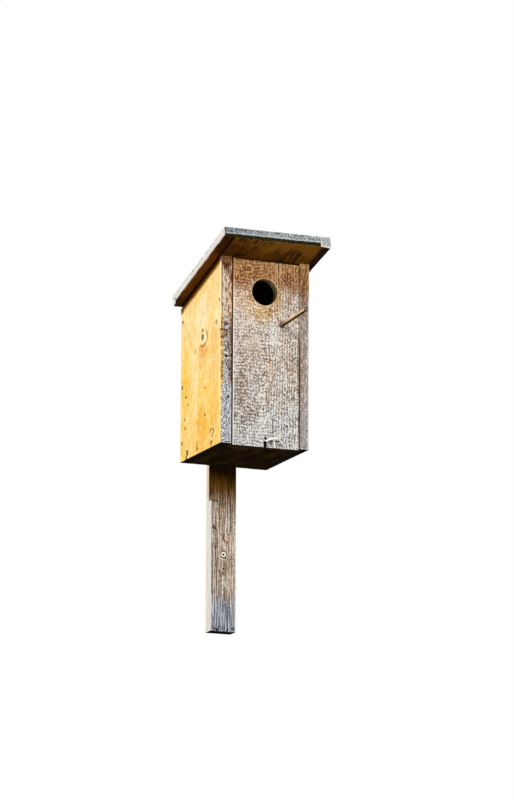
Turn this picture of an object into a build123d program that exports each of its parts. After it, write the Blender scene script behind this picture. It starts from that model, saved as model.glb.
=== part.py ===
from build123d import *
import os
from math import cos, radians, sin, tan

# A wooden nest box that hangs on a vertical batten. Millimetres, +Z up, the front faces -Y.
# The origin lies on the batten's flat back face, on its centre line, level with the underside
# of the box's walls. X runs to the right of someone who looks at the front.

# Boards of the box
board_thickness = 20.0
right_wall_thickness = 19.0
box_depth = 194.0
front_height = 336.0
roof_slope = 16.0

# Front board: set between the walls, its top bevelled along the roof, a little low at the foot
front_board_width = 125.0
front_gap_left = 2.5
front_gap_right = 0.5
front_top_gap = 1.5
front_top_fall = 2.3
front_drop = 2.0
entrance_diameter = 48.0
entrance_from_top = 57.5
entrance_offset = -3.0

# Damage at the front board's foot: a flake split off beside a short open check
flake_left = 0.6
flake_width = 26.5
flake_height = 16.0
flake_depth = 3.0
check_width = 2.2
check_height = 11.5
check_depth = 9.0

# Perch: a dowel glued into a blind socket, rising a little towards its tip
perch_diameter = 8.0
perch_reach = 110.0
perch_tilt = 2.7
perch_offset = 30.0
perch_below_entrance = 56.0
perch_socket_depth = 15.0
perch_clearance = 0.1
perch_chamfer = 0.6

# Roof: one wide board and a narrow strip along its right edge, falling to the rear
roof_thickness = 20.0
roof_overhang_left = 18.0
roof_overhang_right = 16.0
roof_overhang_front = 63.0
roof_rear_gap = 0.5
roof_strip_width = 20.0
roof_strip_droop = 2.0

# Mounting batten
batten_width = 48.0
batten_thickness = 25.0
batten_below = 298.0
batten_above = 45.0
batten_offset = 1.5

# Nails
nail_length = 50.0
nail_diameter = 2.5
nail_head_diameter = 5.4
nail_head_thickness = 1.0
nail_tip = 3.5
nail_punch = 0.3
nail_clearance = 0.1

# Where the nails sit: distances from the edge that each row starts or ends at, and the place
# of a row's middle nail as a share of the way between its outer two
back_nail_from_foot = 33.0
back_nail_from_top = 26.5
back_nail_middle = 0.46
floor_nail_from_front = 44.0
floor_nail_from_back = 34.0
floor_nail_middle = 0.58
front_nail_from_top = 78.0
roof_nail_from_front = 25.0
roof_nail_from_back = 32.0

# Bent nail: driven through the front board's foot into the floor, then hammered down
bent_nail_x = 15.0
bent_nail_height = 12.0
bent_nail_length_in_wood = 34.0
bent_nail_proud = 0.6
bent_nail_fall = 12.5
bent_nail_lean = 1.5
bent_nail_radius = 2.6

# Countersunk screws
screw_diameter = 4.5
screw_head_diameter = 9.0
screw_clearance = 0.1
screw_tip = 6.0
recess_length = 5.0
recess_width = 1.2
recess_depth = 1.6
lower_screw_below = 159.0
upper_screw_from_top = 22.0
back_screw_bite = 15.0
back_screw_from_floor = 60.0
back_screw_from_roof = 45.0

# Worked out from the driving sizes
slope = radians(roof_slope)
box_width = (
    board_thickness + front_gap_left + front_board_width + front_gap_right + right_wall_thickness
)
left_x = -(box_width / 2 + batten_offset)
right_x = left_x + box_width
left_inner_x = left_x + board_thickness
right_inner_x = right_x - right_wall_thickness
back_y = -batten_thickness
front_y = back_y - box_depth
front_inner_y = front_y + board_thickness
back_inner_y = back_y - board_thickness
front_board_left_x = left_inner_x + front_gap_left
front_board_x = front_board_left_x + front_board_width / 2


def roof_underside(y):
    """Height of the roof's underside at a place along Y."""
    return front_height - (y - front_y) * tan(slope)


rear_height = roof_underside(back_y)

# The roof's own plane: its origin on the front top edge of the walls, local Y runs down to
# the rear along the underside, and Z stands square on the roof
roof_plane = Plane(
    origin=(0, front_y, front_height),
    x_dir=(1, 0, 0),
    z_dir=(0, sin(slope), cos(slope)),
)

# The front board's top: along the roof's underside, and falling a little to the right
front_board_top = front_height - front_top_gap
front_top_edge = Vector(front_board_width, 0, -front_top_fall)
front_top_plane = Plane(
    origin=(front_board_left_x, front_y, front_board_top),
    x_dir=front_top_edge,
    z_dir=front_top_edge.cross(roof_plane.y_dir),
)
entrance_height = front_board_top - entrance_from_top
perch_height = entrance_height - perch_below_entrance
roof_front = -roof_overhang_front / cos(slope)
roof_rear = (box_depth - roof_rear_gap - roof_thickness * sin(slope)) / cos(slope)
roof_length = roof_rear - roof_front
roof_left_x = left_x - roof_overhang_left
roof_right_x = right_x + roof_overhang_right
roof_split_x = roof_right_x - roof_strip_width
roof_rear_top = roof_underside(back_y - roof_rear_gap) + roof_thickness / cos(slope)

batten_top = roof_rear_top + batten_above
batten_height = batten_top + batten_below

# Radii and depths shared by the fasteners and the holes that hold them
nail_hole_radius = nail_diameter / 2 + nail_clearance
nail_seat_radius = nail_head_diameter / 2 + nail_clearance
nail_seat_depth = nail_punch + nail_head_thickness
nail_hole_depth = nail_length + nail_clearance
screw_hole_radius = screw_diameter / 2 + screw_clearance
screw_seat_radius = screw_head_diameter / 2 + screw_clearance
countersink_angle = 90.0


def left_seat(y, z):
    """Plane on the left wall's outer face, Z out of the wood."""
    return Plane(origin=(left_x, y, z), x_dir=(0, 1, 0), z_dir=(-1, 0, 0))


def right_seat(y, z):
    """Plane on the right wall's outer face, Z out of the wood."""
    return Plane(origin=(right_x, y, z), x_dir=(0, 1, 0), z_dir=(1, 0, 0))


def roof_seat(x, y):
    """Plane on the roof's top face over the point x, y of its underside, Z out of the wood."""
    along = (y - front_y) / cos(slope)
    origin = roof_plane.from_local_coords(Vector(x, along, roof_thickness))
    return Plane(origin=origin, x_dir=(1, 0, 0), z_dir=roof_plane.z_dir)


def front_facing_seat(x, y, z):
    """Plane on a face that looks to the front, Z out of the wood."""
    return Plane(origin=(x, y, z), x_dir=(1, 0, 0), z_dir=(0, -1, 0))


# Rows of nails, the same on both walls
back_nail_y = (back_y + back_inner_y) / 2
back_nail_low = back_nail_from_foot
back_nail_high = rear_height - back_nail_from_top
back_nail_heights = (
    back_nail_low,
    back_nail_low + back_nail_middle * (back_nail_high - back_nail_low),
    back_nail_high,
)
floor_nail_z = board_thickness / 2
floor_nail_first = front_y + floor_nail_from_front
floor_nail_last = back_y - floor_nail_from_back
floor_nail_places = (
    floor_nail_first,
    floor_nail_first + floor_nail_middle * (floor_nail_last - floor_nail_first),
    floor_nail_last,
)
front_nail_y = (front_y + front_inner_y) / 2
front_nail_z = front_height - front_nail_from_top

back_nail_seats = {}
floor_nail_seats = {}
front_nail_seats = {}
for side, seat in (("left", left_seat), ("right", right_seat)):
    for number, height in enumerate(back_nail_heights, start=1):
        back_nail_seats[f"{side}_back_nail_{number}"] = seat(back_nail_y, height)
    for number, place in enumerate(floor_nail_places, start=1):
        floor_nail_seats[f"{side}_floor_nail_{number}"] = seat(place, floor_nail_z)
    front_nail_seats[f"{side}_front_nail"] = seat(front_nail_y, front_nail_z)

roof_nail_seats = {}
for side, x in (
    ("left", (left_x + left_inner_x) / 2),
    ("right", (right_x + right_inner_x) / 2),
):
    roof_nail_seats[f"roof_nail_{side}_front"] = roof_seat(x, front_y + roof_nail_from_front)
    roof_nail_seats[f"roof_nail_{side}_rear"] = roof_seat(x, back_y - roof_nail_from_back)

# Screws: two hold the batten to what it hangs on, two hold the back board to the batten
wall_screw_seats = {
    "lower_wall_screw": front_facing_seat(0, back_y, -lower_screw_below),
    "upper_wall_screw": front_facing_seat(0, back_y, batten_top - upper_screw_from_top),
}
back_screw_length = board_thickness + back_screw_bite
back_screw_seats = {
    "back_screw_lower": front_facing_seat(0, back_inner_y, board_thickness + back_screw_from_floor),
    "back_screw_upper": front_facing_seat(0, back_inner_y, rear_height - back_screw_from_roof),
}

# Perch and bent nail
perch_seat = Plane(
    origin=(front_board_x + perch_offset, front_y, perch_height),
    x_dir=(1, 0, 0),
    z_dir=(0, -cos(radians(perch_tilt)), sin(radians(perch_tilt))),
)
bent_nail_seat = front_facing_seat(bent_nail_x, front_y + flake_depth, bent_nail_height)


def finish(piece, name):
    """Label a finished piece and write it to its own file."""
    piece.part.label = name
    export_step(piece.part, f"parts/{name}.step")


def seats_of(side, *rows):
    """The seats in some rows of nails that belong to one side, left or right."""
    return [seat for row in rows for name, seat in row.items() if side in name]


def side_wall(side, start_x, thickness):
    """A side wall with its sloped top, and the holes of the nails through it and into it."""
    with BuildPart() as wall:
        with BuildSketch(Plane.YZ.offset(start_x)):
            with BuildLine():
                Polyline(
                    (front_y, 0),
                    (back_y, 0),
                    (back_y, rear_height),
                    (front_y, front_height),
                    close=True,
                )
            make_face()
        extrude(amount=thickness)
        with Locations(*seats_of(side, back_nail_seats, floor_nail_seats, front_nail_seats)):
            CounterBoreHole(
                radius=nail_hole_radius,
                counter_bore_radius=nail_seat_radius,
                counter_bore_depth=nail_seat_depth,
                depth=nail_hole_depth,
            )
        with Locations(*seats_of(side, roof_nail_seats)):
            Hole(radius=nail_hole_radius, depth=nail_hole_depth)
    finish(wall, f"{side}_wall")


# Side walls
side_wall("left", left_x, board_thickness)
side_wall("right", right_inner_x, right_wall_thickness)

# Front board: entrance hole, perch socket, holes for its nails, and the damaged foot
with BuildPart() as front_board:
    with BuildSketch(Plane.XY.offset(-front_drop)):
        with Locations((front_board_x, (front_y + front_inner_y) / 2)):
            Rectangle(front_board_width, board_thickness)
    extrude(amount=front_board_top + front_drop)
    split(bisect_by=front_top_plane, keep=Keep.BOTTOM)
    with Locations(front_facing_seat(front_board_x + entrance_offset, front_y, entrance_height)):
        Hole(radius=entrance_diameter / 2, depth=board_thickness)
    with Locations(perch_seat):
        Hole(radius=perch_diameter / 2 + perch_clearance, depth=perch_socket_depth)
    with Locations(*front_nail_seats.values()):
        Hole(radius=nail_hole_radius, depth=nail_hole_depth)
    with BuildSketch(front_facing_seat(front_board_x, front_y, -front_drop)):
        with Locations((flake_left, 0)):
            Rectangle(flake_width, flake_height, align=(Align.MIN, Align.MIN))
    extrude(amount=-flake_depth, mode=Mode.SUBTRACT)
    with BuildSketch(front_facing_seat(front_board_x, front_y, -front_drop)):
        with Locations((flake_left, 0)):
            Rectangle(check_width, check_height, align=(Align.MAX, Align.MIN))
    extrude(amount=-check_depth, mode=Mode.SUBTRACT)
    with Locations(bent_nail_seat):
        Hole(radius=nail_hole_radius, depth=board_thickness)
finish(front_board, "front_board")

# Back board: between the walls, its top cut to the slope, screwed to the batten
with BuildPart() as back_board:
    with BuildSketch(Plane.YZ.offset(left_inner_x)):
        with BuildLine():
            Polyline(
                (back_inner_y, 0),
                (back_y, 0),
                (back_y, rear_height),
                (back_inner_y, roof_underside(back_inner_y)),
                close=True,
            )
        make_face()
    extrude(amount=right_inner_x - left_inner_x)
    with Locations(*back_nail_seats.values()):
        Hole(radius=nail_hole_radius, depth=nail_hole_depth)
    with Locations(*back_screw_seats.values()):
        CounterSinkHole(
            radius=screw_hole_radius,
            counter_sink_radius=screw_seat_radius,
            depth=back_screw_length + screw_clearance,
            counter_sink_angle=countersink_angle,
        )
finish(back_board, "back_board")

# Floor board: between all four, flush with the walls' foot
with BuildPart() as floor_board:
    with BuildSketch(Plane.XY):
        with Locations((left_inner_x, front_inner_y)):
            Rectangle(
                right_inner_x - left_inner_x,
                back_inner_y - front_inner_y,
                align=(Align.MIN, Align.MIN),
            )
    extrude(amount=board_thickness)
    with Locations(*floor_nail_seats.values()):
        Hole(radius=nail_hole_radius, depth=nail_hole_depth)
    with Locations(bent_nail_seat):
        Hole(radius=nail_hole_radius, depth=bent_nail_length_in_wood + nail_clearance)
finish(floor_board, "floor_board")

# Roof board, nailed down into the side walls
with BuildPart() as roof_board:
    with BuildSketch(roof_plane):
        with Locations((roof_left_x, roof_front)):
            Rectangle(roof_split_x - roof_left_x, roof_length, align=(Align.MIN, Align.MIN))
    extrude(amount=roof_thickness)
    with Locations(*roof_nail_seats.values()):
        CounterBoreHole(
            radius=nail_hole_radius,
            counter_bore_radius=nail_seat_radius,
            counter_bore_depth=nail_seat_depth,
            depth=nail_hole_depth,
        )
finish(roof_board, "roof_board")

# Roof strip: flat where it lies on the right wall, its outer part hangs a little lower
strip_start = Plane(
    origin=roof_plane.from_local_coords(Vector(0, roof_front, 0)),
    x_dir=(1, 0, 0),
    z_dir=-roof_plane.y_dir,
)
with BuildPart() as roof_edge_strip:
    with BuildSketch(strip_start):
        with BuildLine():
            Polyline(
                (roof_split_x, 0),
                (right_x, 0),
                (roof_right_x, -roof_strip_droop),
                (roof_right_x, roof_thickness),
                (roof_split_x, roof_thickness),
                close=True,
            )
        make_face()
    extrude(amount=-roof_length)
finish(roof_edge_strip, "roof_edge_strip")

# Mounting batten
with BuildPart() as mounting_batten:
    with BuildSketch(Plane.XY.offset(-batten_below)):
        with Locations((0, back_y / 2)):
            Rectangle(batten_width, batten_thickness)
    extrude(amount=batten_height)
    with Locations(*wall_screw_seats.values()):
        CounterSinkHole(
            radius=screw_hole_radius,
            counter_sink_radius=screw_seat_radius,
            depth=batten_thickness,
            counter_sink_angle=countersink_angle,
        )
    with Locations(*back_screw_seats.values()):
        Hole(radius=screw_hole_radius, depth=back_screw_length + screw_clearance)
finish(mounting_batten, "mounting_batten")

# Perch: its inner end stands on the socket's bottom
with BuildPart() as perch:
    with BuildSketch(perch_seat.offset(-perch_socket_depth)):
        Circle(perch_diameter / 2)
    extrude(amount=perch_socket_depth + perch_reach)
    perch_axis = Axis(perch_seat.origin, perch_seat.z_dir)
    chamfer(perch.edges().sort_by(perch_axis)[-1], perch_chamfer)
finish(perch, "perch")


def profile_plane(seat):
    """Plane through a fastener's axis: local X is its radius, local Y runs out of the wood."""
    return Plane(origin=seat.origin, x_dir=seat.x_dir, z_dir=seat.x_dir.cross(seat.z_dir))


# Straight nails, one node each
nail_radius = nail_diameter / 2
nail_head_radius = nail_head_diameter / 2
all_nail_seats = {**back_nail_seats, **floor_nail_seats, **front_nail_seats, **roof_nail_seats}
for name, seat in all_nail_seats.items():
    with BuildPart() as nail:
        with BuildSketch(profile_plane(seat)):
            with BuildLine():
                Polyline(
                    (0, -nail_punch),
                    (nail_head_radius, -nail_punch),
                    (nail_head_radius, -nail_seat_depth),
                    (nail_radius, -nail_seat_depth),
                    (nail_radius, nail_tip - nail_length),
                    (0, -nail_length),
                    close=True,
                )
            make_face()
        revolve(axis=Axis(seat.origin, seat.z_dir))
    finish(nail, name)

# Bent nail: straight in the wood, then an arc and a run down to its head
bend_y = front_y - bent_nail_proud
bent_start = (bent_nail_x, front_y + flake_depth + bent_nail_length_in_wood, bent_nail_height)
bent_corner = (bent_nail_x, bend_y, bent_nail_height)
bent_end = (bent_nail_x + bent_nail_lean, bend_y, bent_nail_height - bent_nail_fall)
with BuildPart() as bent_nail:
    with BuildLine() as route:
        FilletPolyline(bent_start, bent_corner, bent_end, radius=bent_nail_radius)
    with BuildSketch(Plane(origin=route.line @ 0, z_dir=route.line % 0)):
        Circle(nail_radius)
    sweep(path=route.line)
    with BuildSketch(Plane(origin=route.line @ 1, z_dir=route.line % 1)):
        Circle(nail_head_radius)
    extrude(amount=-nail_head_thickness)
finish(bent_nail, "bent_nail")

# Screws, one node each: a flat cone head with a cross recess. Those through the batten end
# flush with its back face, and the back board's end in a point inside the batten
screw_radius = screw_diameter / 2
screw_head_radius = screw_head_diameter / 2
head_depth = screw_head_radius - screw_radius
screws = [(name, seat, batten_thickness, 0.0) for name, seat in wall_screw_seats.items()]
screws += [(name, seat, back_screw_length, screw_tip) for name, seat in back_screw_seats.items()]
for name, seat, length, tip in screws:
    with BuildPart() as screw:
        with BuildSketch(profile_plane(seat)):
            with BuildLine():
                Polyline(
                    (0, 0),
                    (screw_head_radius, 0),
                    (screw_radius, -head_depth),
                    (screw_radius, tip - length),
                    (0, -length),
                    close=True,
                )
            make_face()
        revolve(axis=Axis(seat.origin, seat.z_dir))
        with BuildSketch(seat):
            Rectangle(recess_length, recess_width)
            Rectangle(recess_width, recess_length)
        extrude(amount=-recess_depth, mode=Mode.SUBTRACT)
    finish(screw, name)
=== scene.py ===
from math import atan2, cos, exp, hypot, pi, radians, sin, tan

import bmesh
import bpy
from mathutils import Matrix, Vector, noise


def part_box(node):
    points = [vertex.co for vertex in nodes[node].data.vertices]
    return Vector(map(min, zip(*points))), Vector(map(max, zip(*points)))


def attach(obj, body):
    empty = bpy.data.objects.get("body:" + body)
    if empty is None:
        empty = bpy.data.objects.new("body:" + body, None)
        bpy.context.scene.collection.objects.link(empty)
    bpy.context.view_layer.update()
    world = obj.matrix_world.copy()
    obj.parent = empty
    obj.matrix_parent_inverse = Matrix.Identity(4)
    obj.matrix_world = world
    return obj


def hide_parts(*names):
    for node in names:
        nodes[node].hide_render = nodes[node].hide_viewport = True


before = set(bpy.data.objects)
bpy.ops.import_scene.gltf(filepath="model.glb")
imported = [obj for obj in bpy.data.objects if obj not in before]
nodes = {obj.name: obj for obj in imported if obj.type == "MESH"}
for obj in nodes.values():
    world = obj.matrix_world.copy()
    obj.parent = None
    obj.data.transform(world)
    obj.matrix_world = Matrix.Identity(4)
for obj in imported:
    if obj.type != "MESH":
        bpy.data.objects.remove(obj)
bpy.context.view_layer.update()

# A wooden nest box on its mounting batten. Metres, +Z up, and the front faces -Y. Every board
# is a worn, sawn board over the frame's plain one. Sizes named in millimetres end in mm.

mm = 0.001
scene = bpy.context.scene
x_axis, y_axis, z_axis = Matrix.Identity(3)

# Places from the frame, and the angles that a box of corners can't give
left_low, left_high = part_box("left_wall")
right_low, right_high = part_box("right_wall")
front_low, front_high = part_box("front_board")
back_low, back_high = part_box("back_board")
floor_low, floor_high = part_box("floor_board")
batten_low, batten_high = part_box("mounting_batten")
roof_low, roof_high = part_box("roof_board")
strip_low, strip_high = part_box("roof_edge_strip")
perch_low, perch_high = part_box("perch")
roof_slope = radians(16.0)
roof_thickness = 20 * mm
roof_strip_droop = 2 * mm
front_board_fall = 2.3 * mm
perch_tilt = radians(2.7)
perch_radius = (perch_high.x - perch_low.x) / 2
front_y = left_low.y
foot_z = left_low.z
front_wall_height = left_high.z - foot_z

nail_names = sorted(name for name in nodes if "nail" in name and name != "bent_nail")
screw_names = sorted(name for name in nodes if "screw" in name)

# Pits round the heads, and the entrance hole. Within its reach a hole has a mesh of its own
nail_pit = {"radius": 2.9 * mm, "reach": 6 * mm, "depth": 1.4 * mm, "ease": 0.3 * mm}
screw_pit = {"radius": 4.7 * mm, "reach": 8 * mm, "depth": 2.6 * mm, "ease": 0.3 * mm}
entrance_radius = 24 * mm
entrance_reach = 31 * mm
entrance_x = -3 * mm
entrance_z = 277 * mm


def middle_of(name):
    low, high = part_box(name)
    return (low + high) / 2


def nails_in(place):
    """Names of the nails of one wall, or of the roof."""
    return [name for name in nail_names if name.startswith(place)]


# Board meshes

def nearest(lines, place):
    """Index of the grid line nearest to a place."""
    return min(range(len(lines)), key=lambda index: abs(lines[index] - place))


def grid_lines(length, step, marks):
    """Places of the grid lines along one side: dense at both arrises, and one at each mark."""
    near = (0.0, 0.5 * mm, 1.2 * mm, 2.4 * mm)
    fixed = sorted({*near, *(length - place for place in near), *marks})
    lines = []
    for low, high in zip(fixed, fixed[1:]):
        count = max(1, round((high - low) / step))
        lines += [low + (high - low) * part / count for part in range(count)]
    return lines + [length]


def wobble(point, size, seed):
    """Soft noise from -1 to 1, with lumps of about one size, or of one size for each axis."""
    across, deep, along = size if isinstance(size, tuple) else (size, size, size)
    return noise.noise(Vector((point[0] / across, point[1] / deep, point[2] / along + 37.7 * seed)))


class Board:
    """A board as a closed skin of quads. Its own axes run a across the face that shows, b into
    the wood from that face, and c along the grain, each from 0 to its size."""

    def __init__(self, name, origin, axes, size, seed, rough=0.35 * mm, arris=0.8 * mm,
                 step=2.4 * mm, marks=((), (), ())):
        self.name = name
        self.seed = seed
        self.size = size
        self.place = Matrix((*axes,)).transposed().to_4x4()
        self.place.translation = origin
        self.lines = [grid_lines(length, step, at) for length, at in zip(size, marks)]
        self.points = []
        self.known = {}
        self.covered = set()
        self.faces = []
        self.arris = arris
        self.chips = 3.0 * mm
        self.rough = rough

    # What a board may change about its own form

    def length_share(self, a, b):
        """How much of the full length a line along the grain keeps, where an end is cut askew."""
        return 1.0

    def depth_share(self, a, c):
        """How much of the full thickness a line through the wood keeps."""
        return 1.0

    def extra_wear(self, a, b, c):
        """Rounding beyond the usual, in metres."""
        return 0.0

    def extra_relief(self, a, b, c):
        """Roughness beyond the usual, in metres into the wood."""
        return 0.0

    def carved(self, a, c):
        """Depth of what is missing from the face b = 0, in metres."""
        return 0.0

    def trimmed(self, spot):
        """Where a point ends up once an arris is cut away."""
        return spot

    # Making the skin

    def add(self, point, kind):
        self.points.append((point, kind))
        return len(self.points) - 1

    def lattice(self, key):
        if key not in self.known:
            point = [lines[index] for lines, index in zip(self.lines, key)]
            self.known[key] = self.add(point, "lattice")
        return self.known[key]

    def true(self, point):
        a, b, c = point
        return [a, b * self.depth_share(a, c), c * self.length_share(a, b)]

    def bridge(self, rings):
        for outer, inner in zip(rings, rings[1:]):
            for k in range(len(outer)):
                n = (k + 1) % len(outer)
                self.faces.append((outer[k], outer[n], inner[n], inner[k]))

    def collar(self, loop, centre, radius, end):
        """Rings of quads on a face, from the square hole in the lattice in to a round rim."""
        rings = [[self.lattice((i, end, k)) for i, k in loop]]
        for share in (0.62, 0.34, 0.14, 0.0):
            ring = []
            for i, k in loop:
                a, b, c = self.true([self.lines[0][i], self.lines[1][end], self.lines[2][k]])
                away = hypot(a - centre[0], c - centre[1])
                reach = (radius + (away - radius) * share) / away
                spot = (centre[0] + (a - centre[0]) * reach, b, centre[1] + (c - centre[1]) * reach)
                ring.append(self.add(spot, "face"))
            rings.append(ring)
        self.bridge(rings)
        return rings[-1]

    def hole(self, centre, radius, reach, depth=None, ease=0.5 * mm, ragged=0.0):
        """A round hole in the face b = 0: a pit, or a bore right through where depth is None.
        Its rim is eased, and the lattice gives way to it as far as its reach."""
        share = self.length_share(centre[0], 0.0)
        a_lines, b_lines, c_lines = self.lines
        i0, i1 = (nearest(a_lines, centre[0] + away) for away in (-reach, reach))
        k0, k1 = (nearest(c_lines, (centre[1] + away) / share) for away in (-reach, reach))
        loop = [(i, k0) for i in range(i0, i1)] + [(i1, k) for k in range(k0, k1)]
        loop += [(i, k1) for i in range(i1, i0, -1)] + [(i0, k) for k in range(k1, k0, -1)]
        ends = (0,) if depth else (0, len(b_lines) - 1)
        self.covered |= {(end, i, k) for end in ends for i in range(i0, i1) for k in range(k0, k1)}
        front = self.collar(loop, centre, radius + ease, 0)
        turns = [
            atan2(self.points[p][0][2] - centre[1], self.points[p][0][0] - centre[0]) for p in front
        ]
        bottom = depth or self.size[1] - ease
        rings = [front]
        for part in (0.0, 0.05, 0.2, 0.4, 0.6, 0.8, 0.95, 1.0):
            b = ease + (bottom - ease) * part
            ring = []
            for turn in turns:
                place = (centre[0] + radius * cos(turn), b * 3, centre[1] + radius * sin(turn))
                at = radius + ragged * wobble(place, 3.5 * mm, self.seed)
                spot = (centre[0] + at * cos(turn), b, centre[1] + at * sin(turn))
                ring.append(self.add(spot, "fixed"))
            rings.append(ring)
        if depth:
            self.bridge(rings)
            middle = self.add((centre[0], depth, centre[1]), "fixed")
            last = rings[-1]
            for k in range(len(last)):
                self.faces.append((last[k], last[(k + 1) % len(last)], middle))
        else:
            rings.append(self.collar(loop, centre, radius + ease, ends[1]))
            self.bridge(rings)

    def sides(self):
        counts = [len(lines) - 1 for lines in self.lines]
        for axis in range(3):
            u, v = [other for other in range(3) if other != axis]
            for end in (0, counts[axis]):
                for i in range(counts[u]):
                    for k in range(counts[v]):
                        if axis == 1 and (end, i, k) in self.covered:
                            continue
                        face = []
                        for p, q in ((i, k), (i + 1, k), (i + 1, k + 1), (i, k + 1)):
                            key = [end, end, end]
                            key[u], key[v] = p, q
                            face.append(self.lattice(tuple(key)))
                        self.faces.append(face)

    # Wear and saw marks

    def rounding(self, a, b, c):
        place = (a, b, c)
        radius = self.arris * (1 + 0.6 * wobble(place, 35 * mm, self.seed))
        radius += self.chips * max(0.0, wobble(place, 8 * mm, self.seed + 1) - 0.25)
        return radius + self.extra_wear(a, b, c)

    def relief(self, a, b, c):
        ridge = 0.5 + 0.5 * wobble((a, b, c), (6 * mm, 6 * mm, 120 * mm), self.seed + 2)
        wave = 0.5 + 0.5 * wobble((a, b, c), (26 * mm, 26 * mm, 40 * mm), self.seed + 3)
        return self.rough * (0.5 * ridge + 0.5 * wave) + self.extra_relief(a, b, c)

    def shaped(self, point, kind):
        a, b, c = point
        if kind == "fixed":
            return Vector(point)
        if kind == "face":
            sunk = self.relief(a, b, c)
            b += sunk if b < self.size[1] / 2 else -sunk
            return Vector((a, max(b, self.carved(a, c)), c))
        radius = self.rounding(a, b, c)
        core = Vector([min(max(at, radius), full - radius) for at, full in zip(point, self.size)])
        out = Vector(point) - core
        spot = core + out.normalized() * (radius - self.relief(a, b, c))
        spot = Vector(self.true(spot))
        spot.y = max(spot.y, self.carved(spot.x, spot.z))
        return self.trimmed(spot)

    def build(self, material, slot):
        """Make the board, in place of the frame's piece with its name."""
        self.sides()
        name = "worn_" + self.name
        mesh = bpy.data.meshes.new(name)
        places = [self.place @ self.shaped(*entry) for entry in self.points]
        mesh.from_pydata(places, [], self.faces)
        clean(mesh)
        dress(mesh, name, material, slot, self.name)


def clean(mesh, merge=0.02 * mm, sharp=radians(50)):
    """Join points that fell together, turn all faces outwards and shade the mesh smooth."""
    work = bmesh.new()
    work.from_mesh(mesh)
    bmesh.ops.remove_doubles(work, verts=work.verts, dist=merge)
    bmesh.ops.recalc_face_normals(work, faces=work.faces)
    work.to_mesh(mesh)
    work.free()
    mesh.shade_smooth()
    mesh.set_sharp_from_angle(angle=sharp)


def dress(mesh, name, material, slot, *replaced):
    """Make a mesh a piece of the part, in place of the frame's plain ones that are named."""
    piece = bpy.data.objects.new(name, mesh)
    scene.collection.objects.link(piece)
    mesh.materials.append(material)
    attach(piece, "root")
    if replaced:
        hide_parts(*replaced)


# Materials: numbers and colours that vary over a surface, with places in millimetres

def paint(text):
    """A colour written as #RRGGBB, as the linear colour that a shader takes."""
    parts = [int(text[k:k + 2], 16) / 255 for k in (1, 3, 5)]
    linear = [p / 12.92 if p <= 0.04045 else ((p + 0.055) / 1.055) ** 2.4 for p in parts]
    return (*linear, 1.0)


def operation(name, swapped=False):
    """A method that joins a field with another one, or with a number."""
    def method(self, other):
        return self.shader.math(name, *((other, self) if swapped else (self, other)))
    return method


class Field:
    """A number or a colour that varies over a surface. Arithmetic on it adds maths nodes."""

    def __init__(self, shader, socket):
        self.shader = shader
        self.socket = socket

    __add__ = __radd__ = operation("ADD")
    __mul__ = __rmul__ = operation("MULTIPLY")
    __sub__ = operation("SUBTRACT")
    __rsub__ = operation("SUBTRACT", swapped=True)
    __truediv__ = operation("DIVIDE")
    __pow__ = operation("POWER")

    def smooth(self, low, high):
        """0 up to low and 1 from high on, eased between them; falls where low is the larger."""
        return self.shader.smooth(self, low, high)

    def lay(self, share, tone):
        """Lay a tone over this colour, as strong as its share says."""
        self.socket = self.shader.mix(share, self, tone).socket


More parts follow.
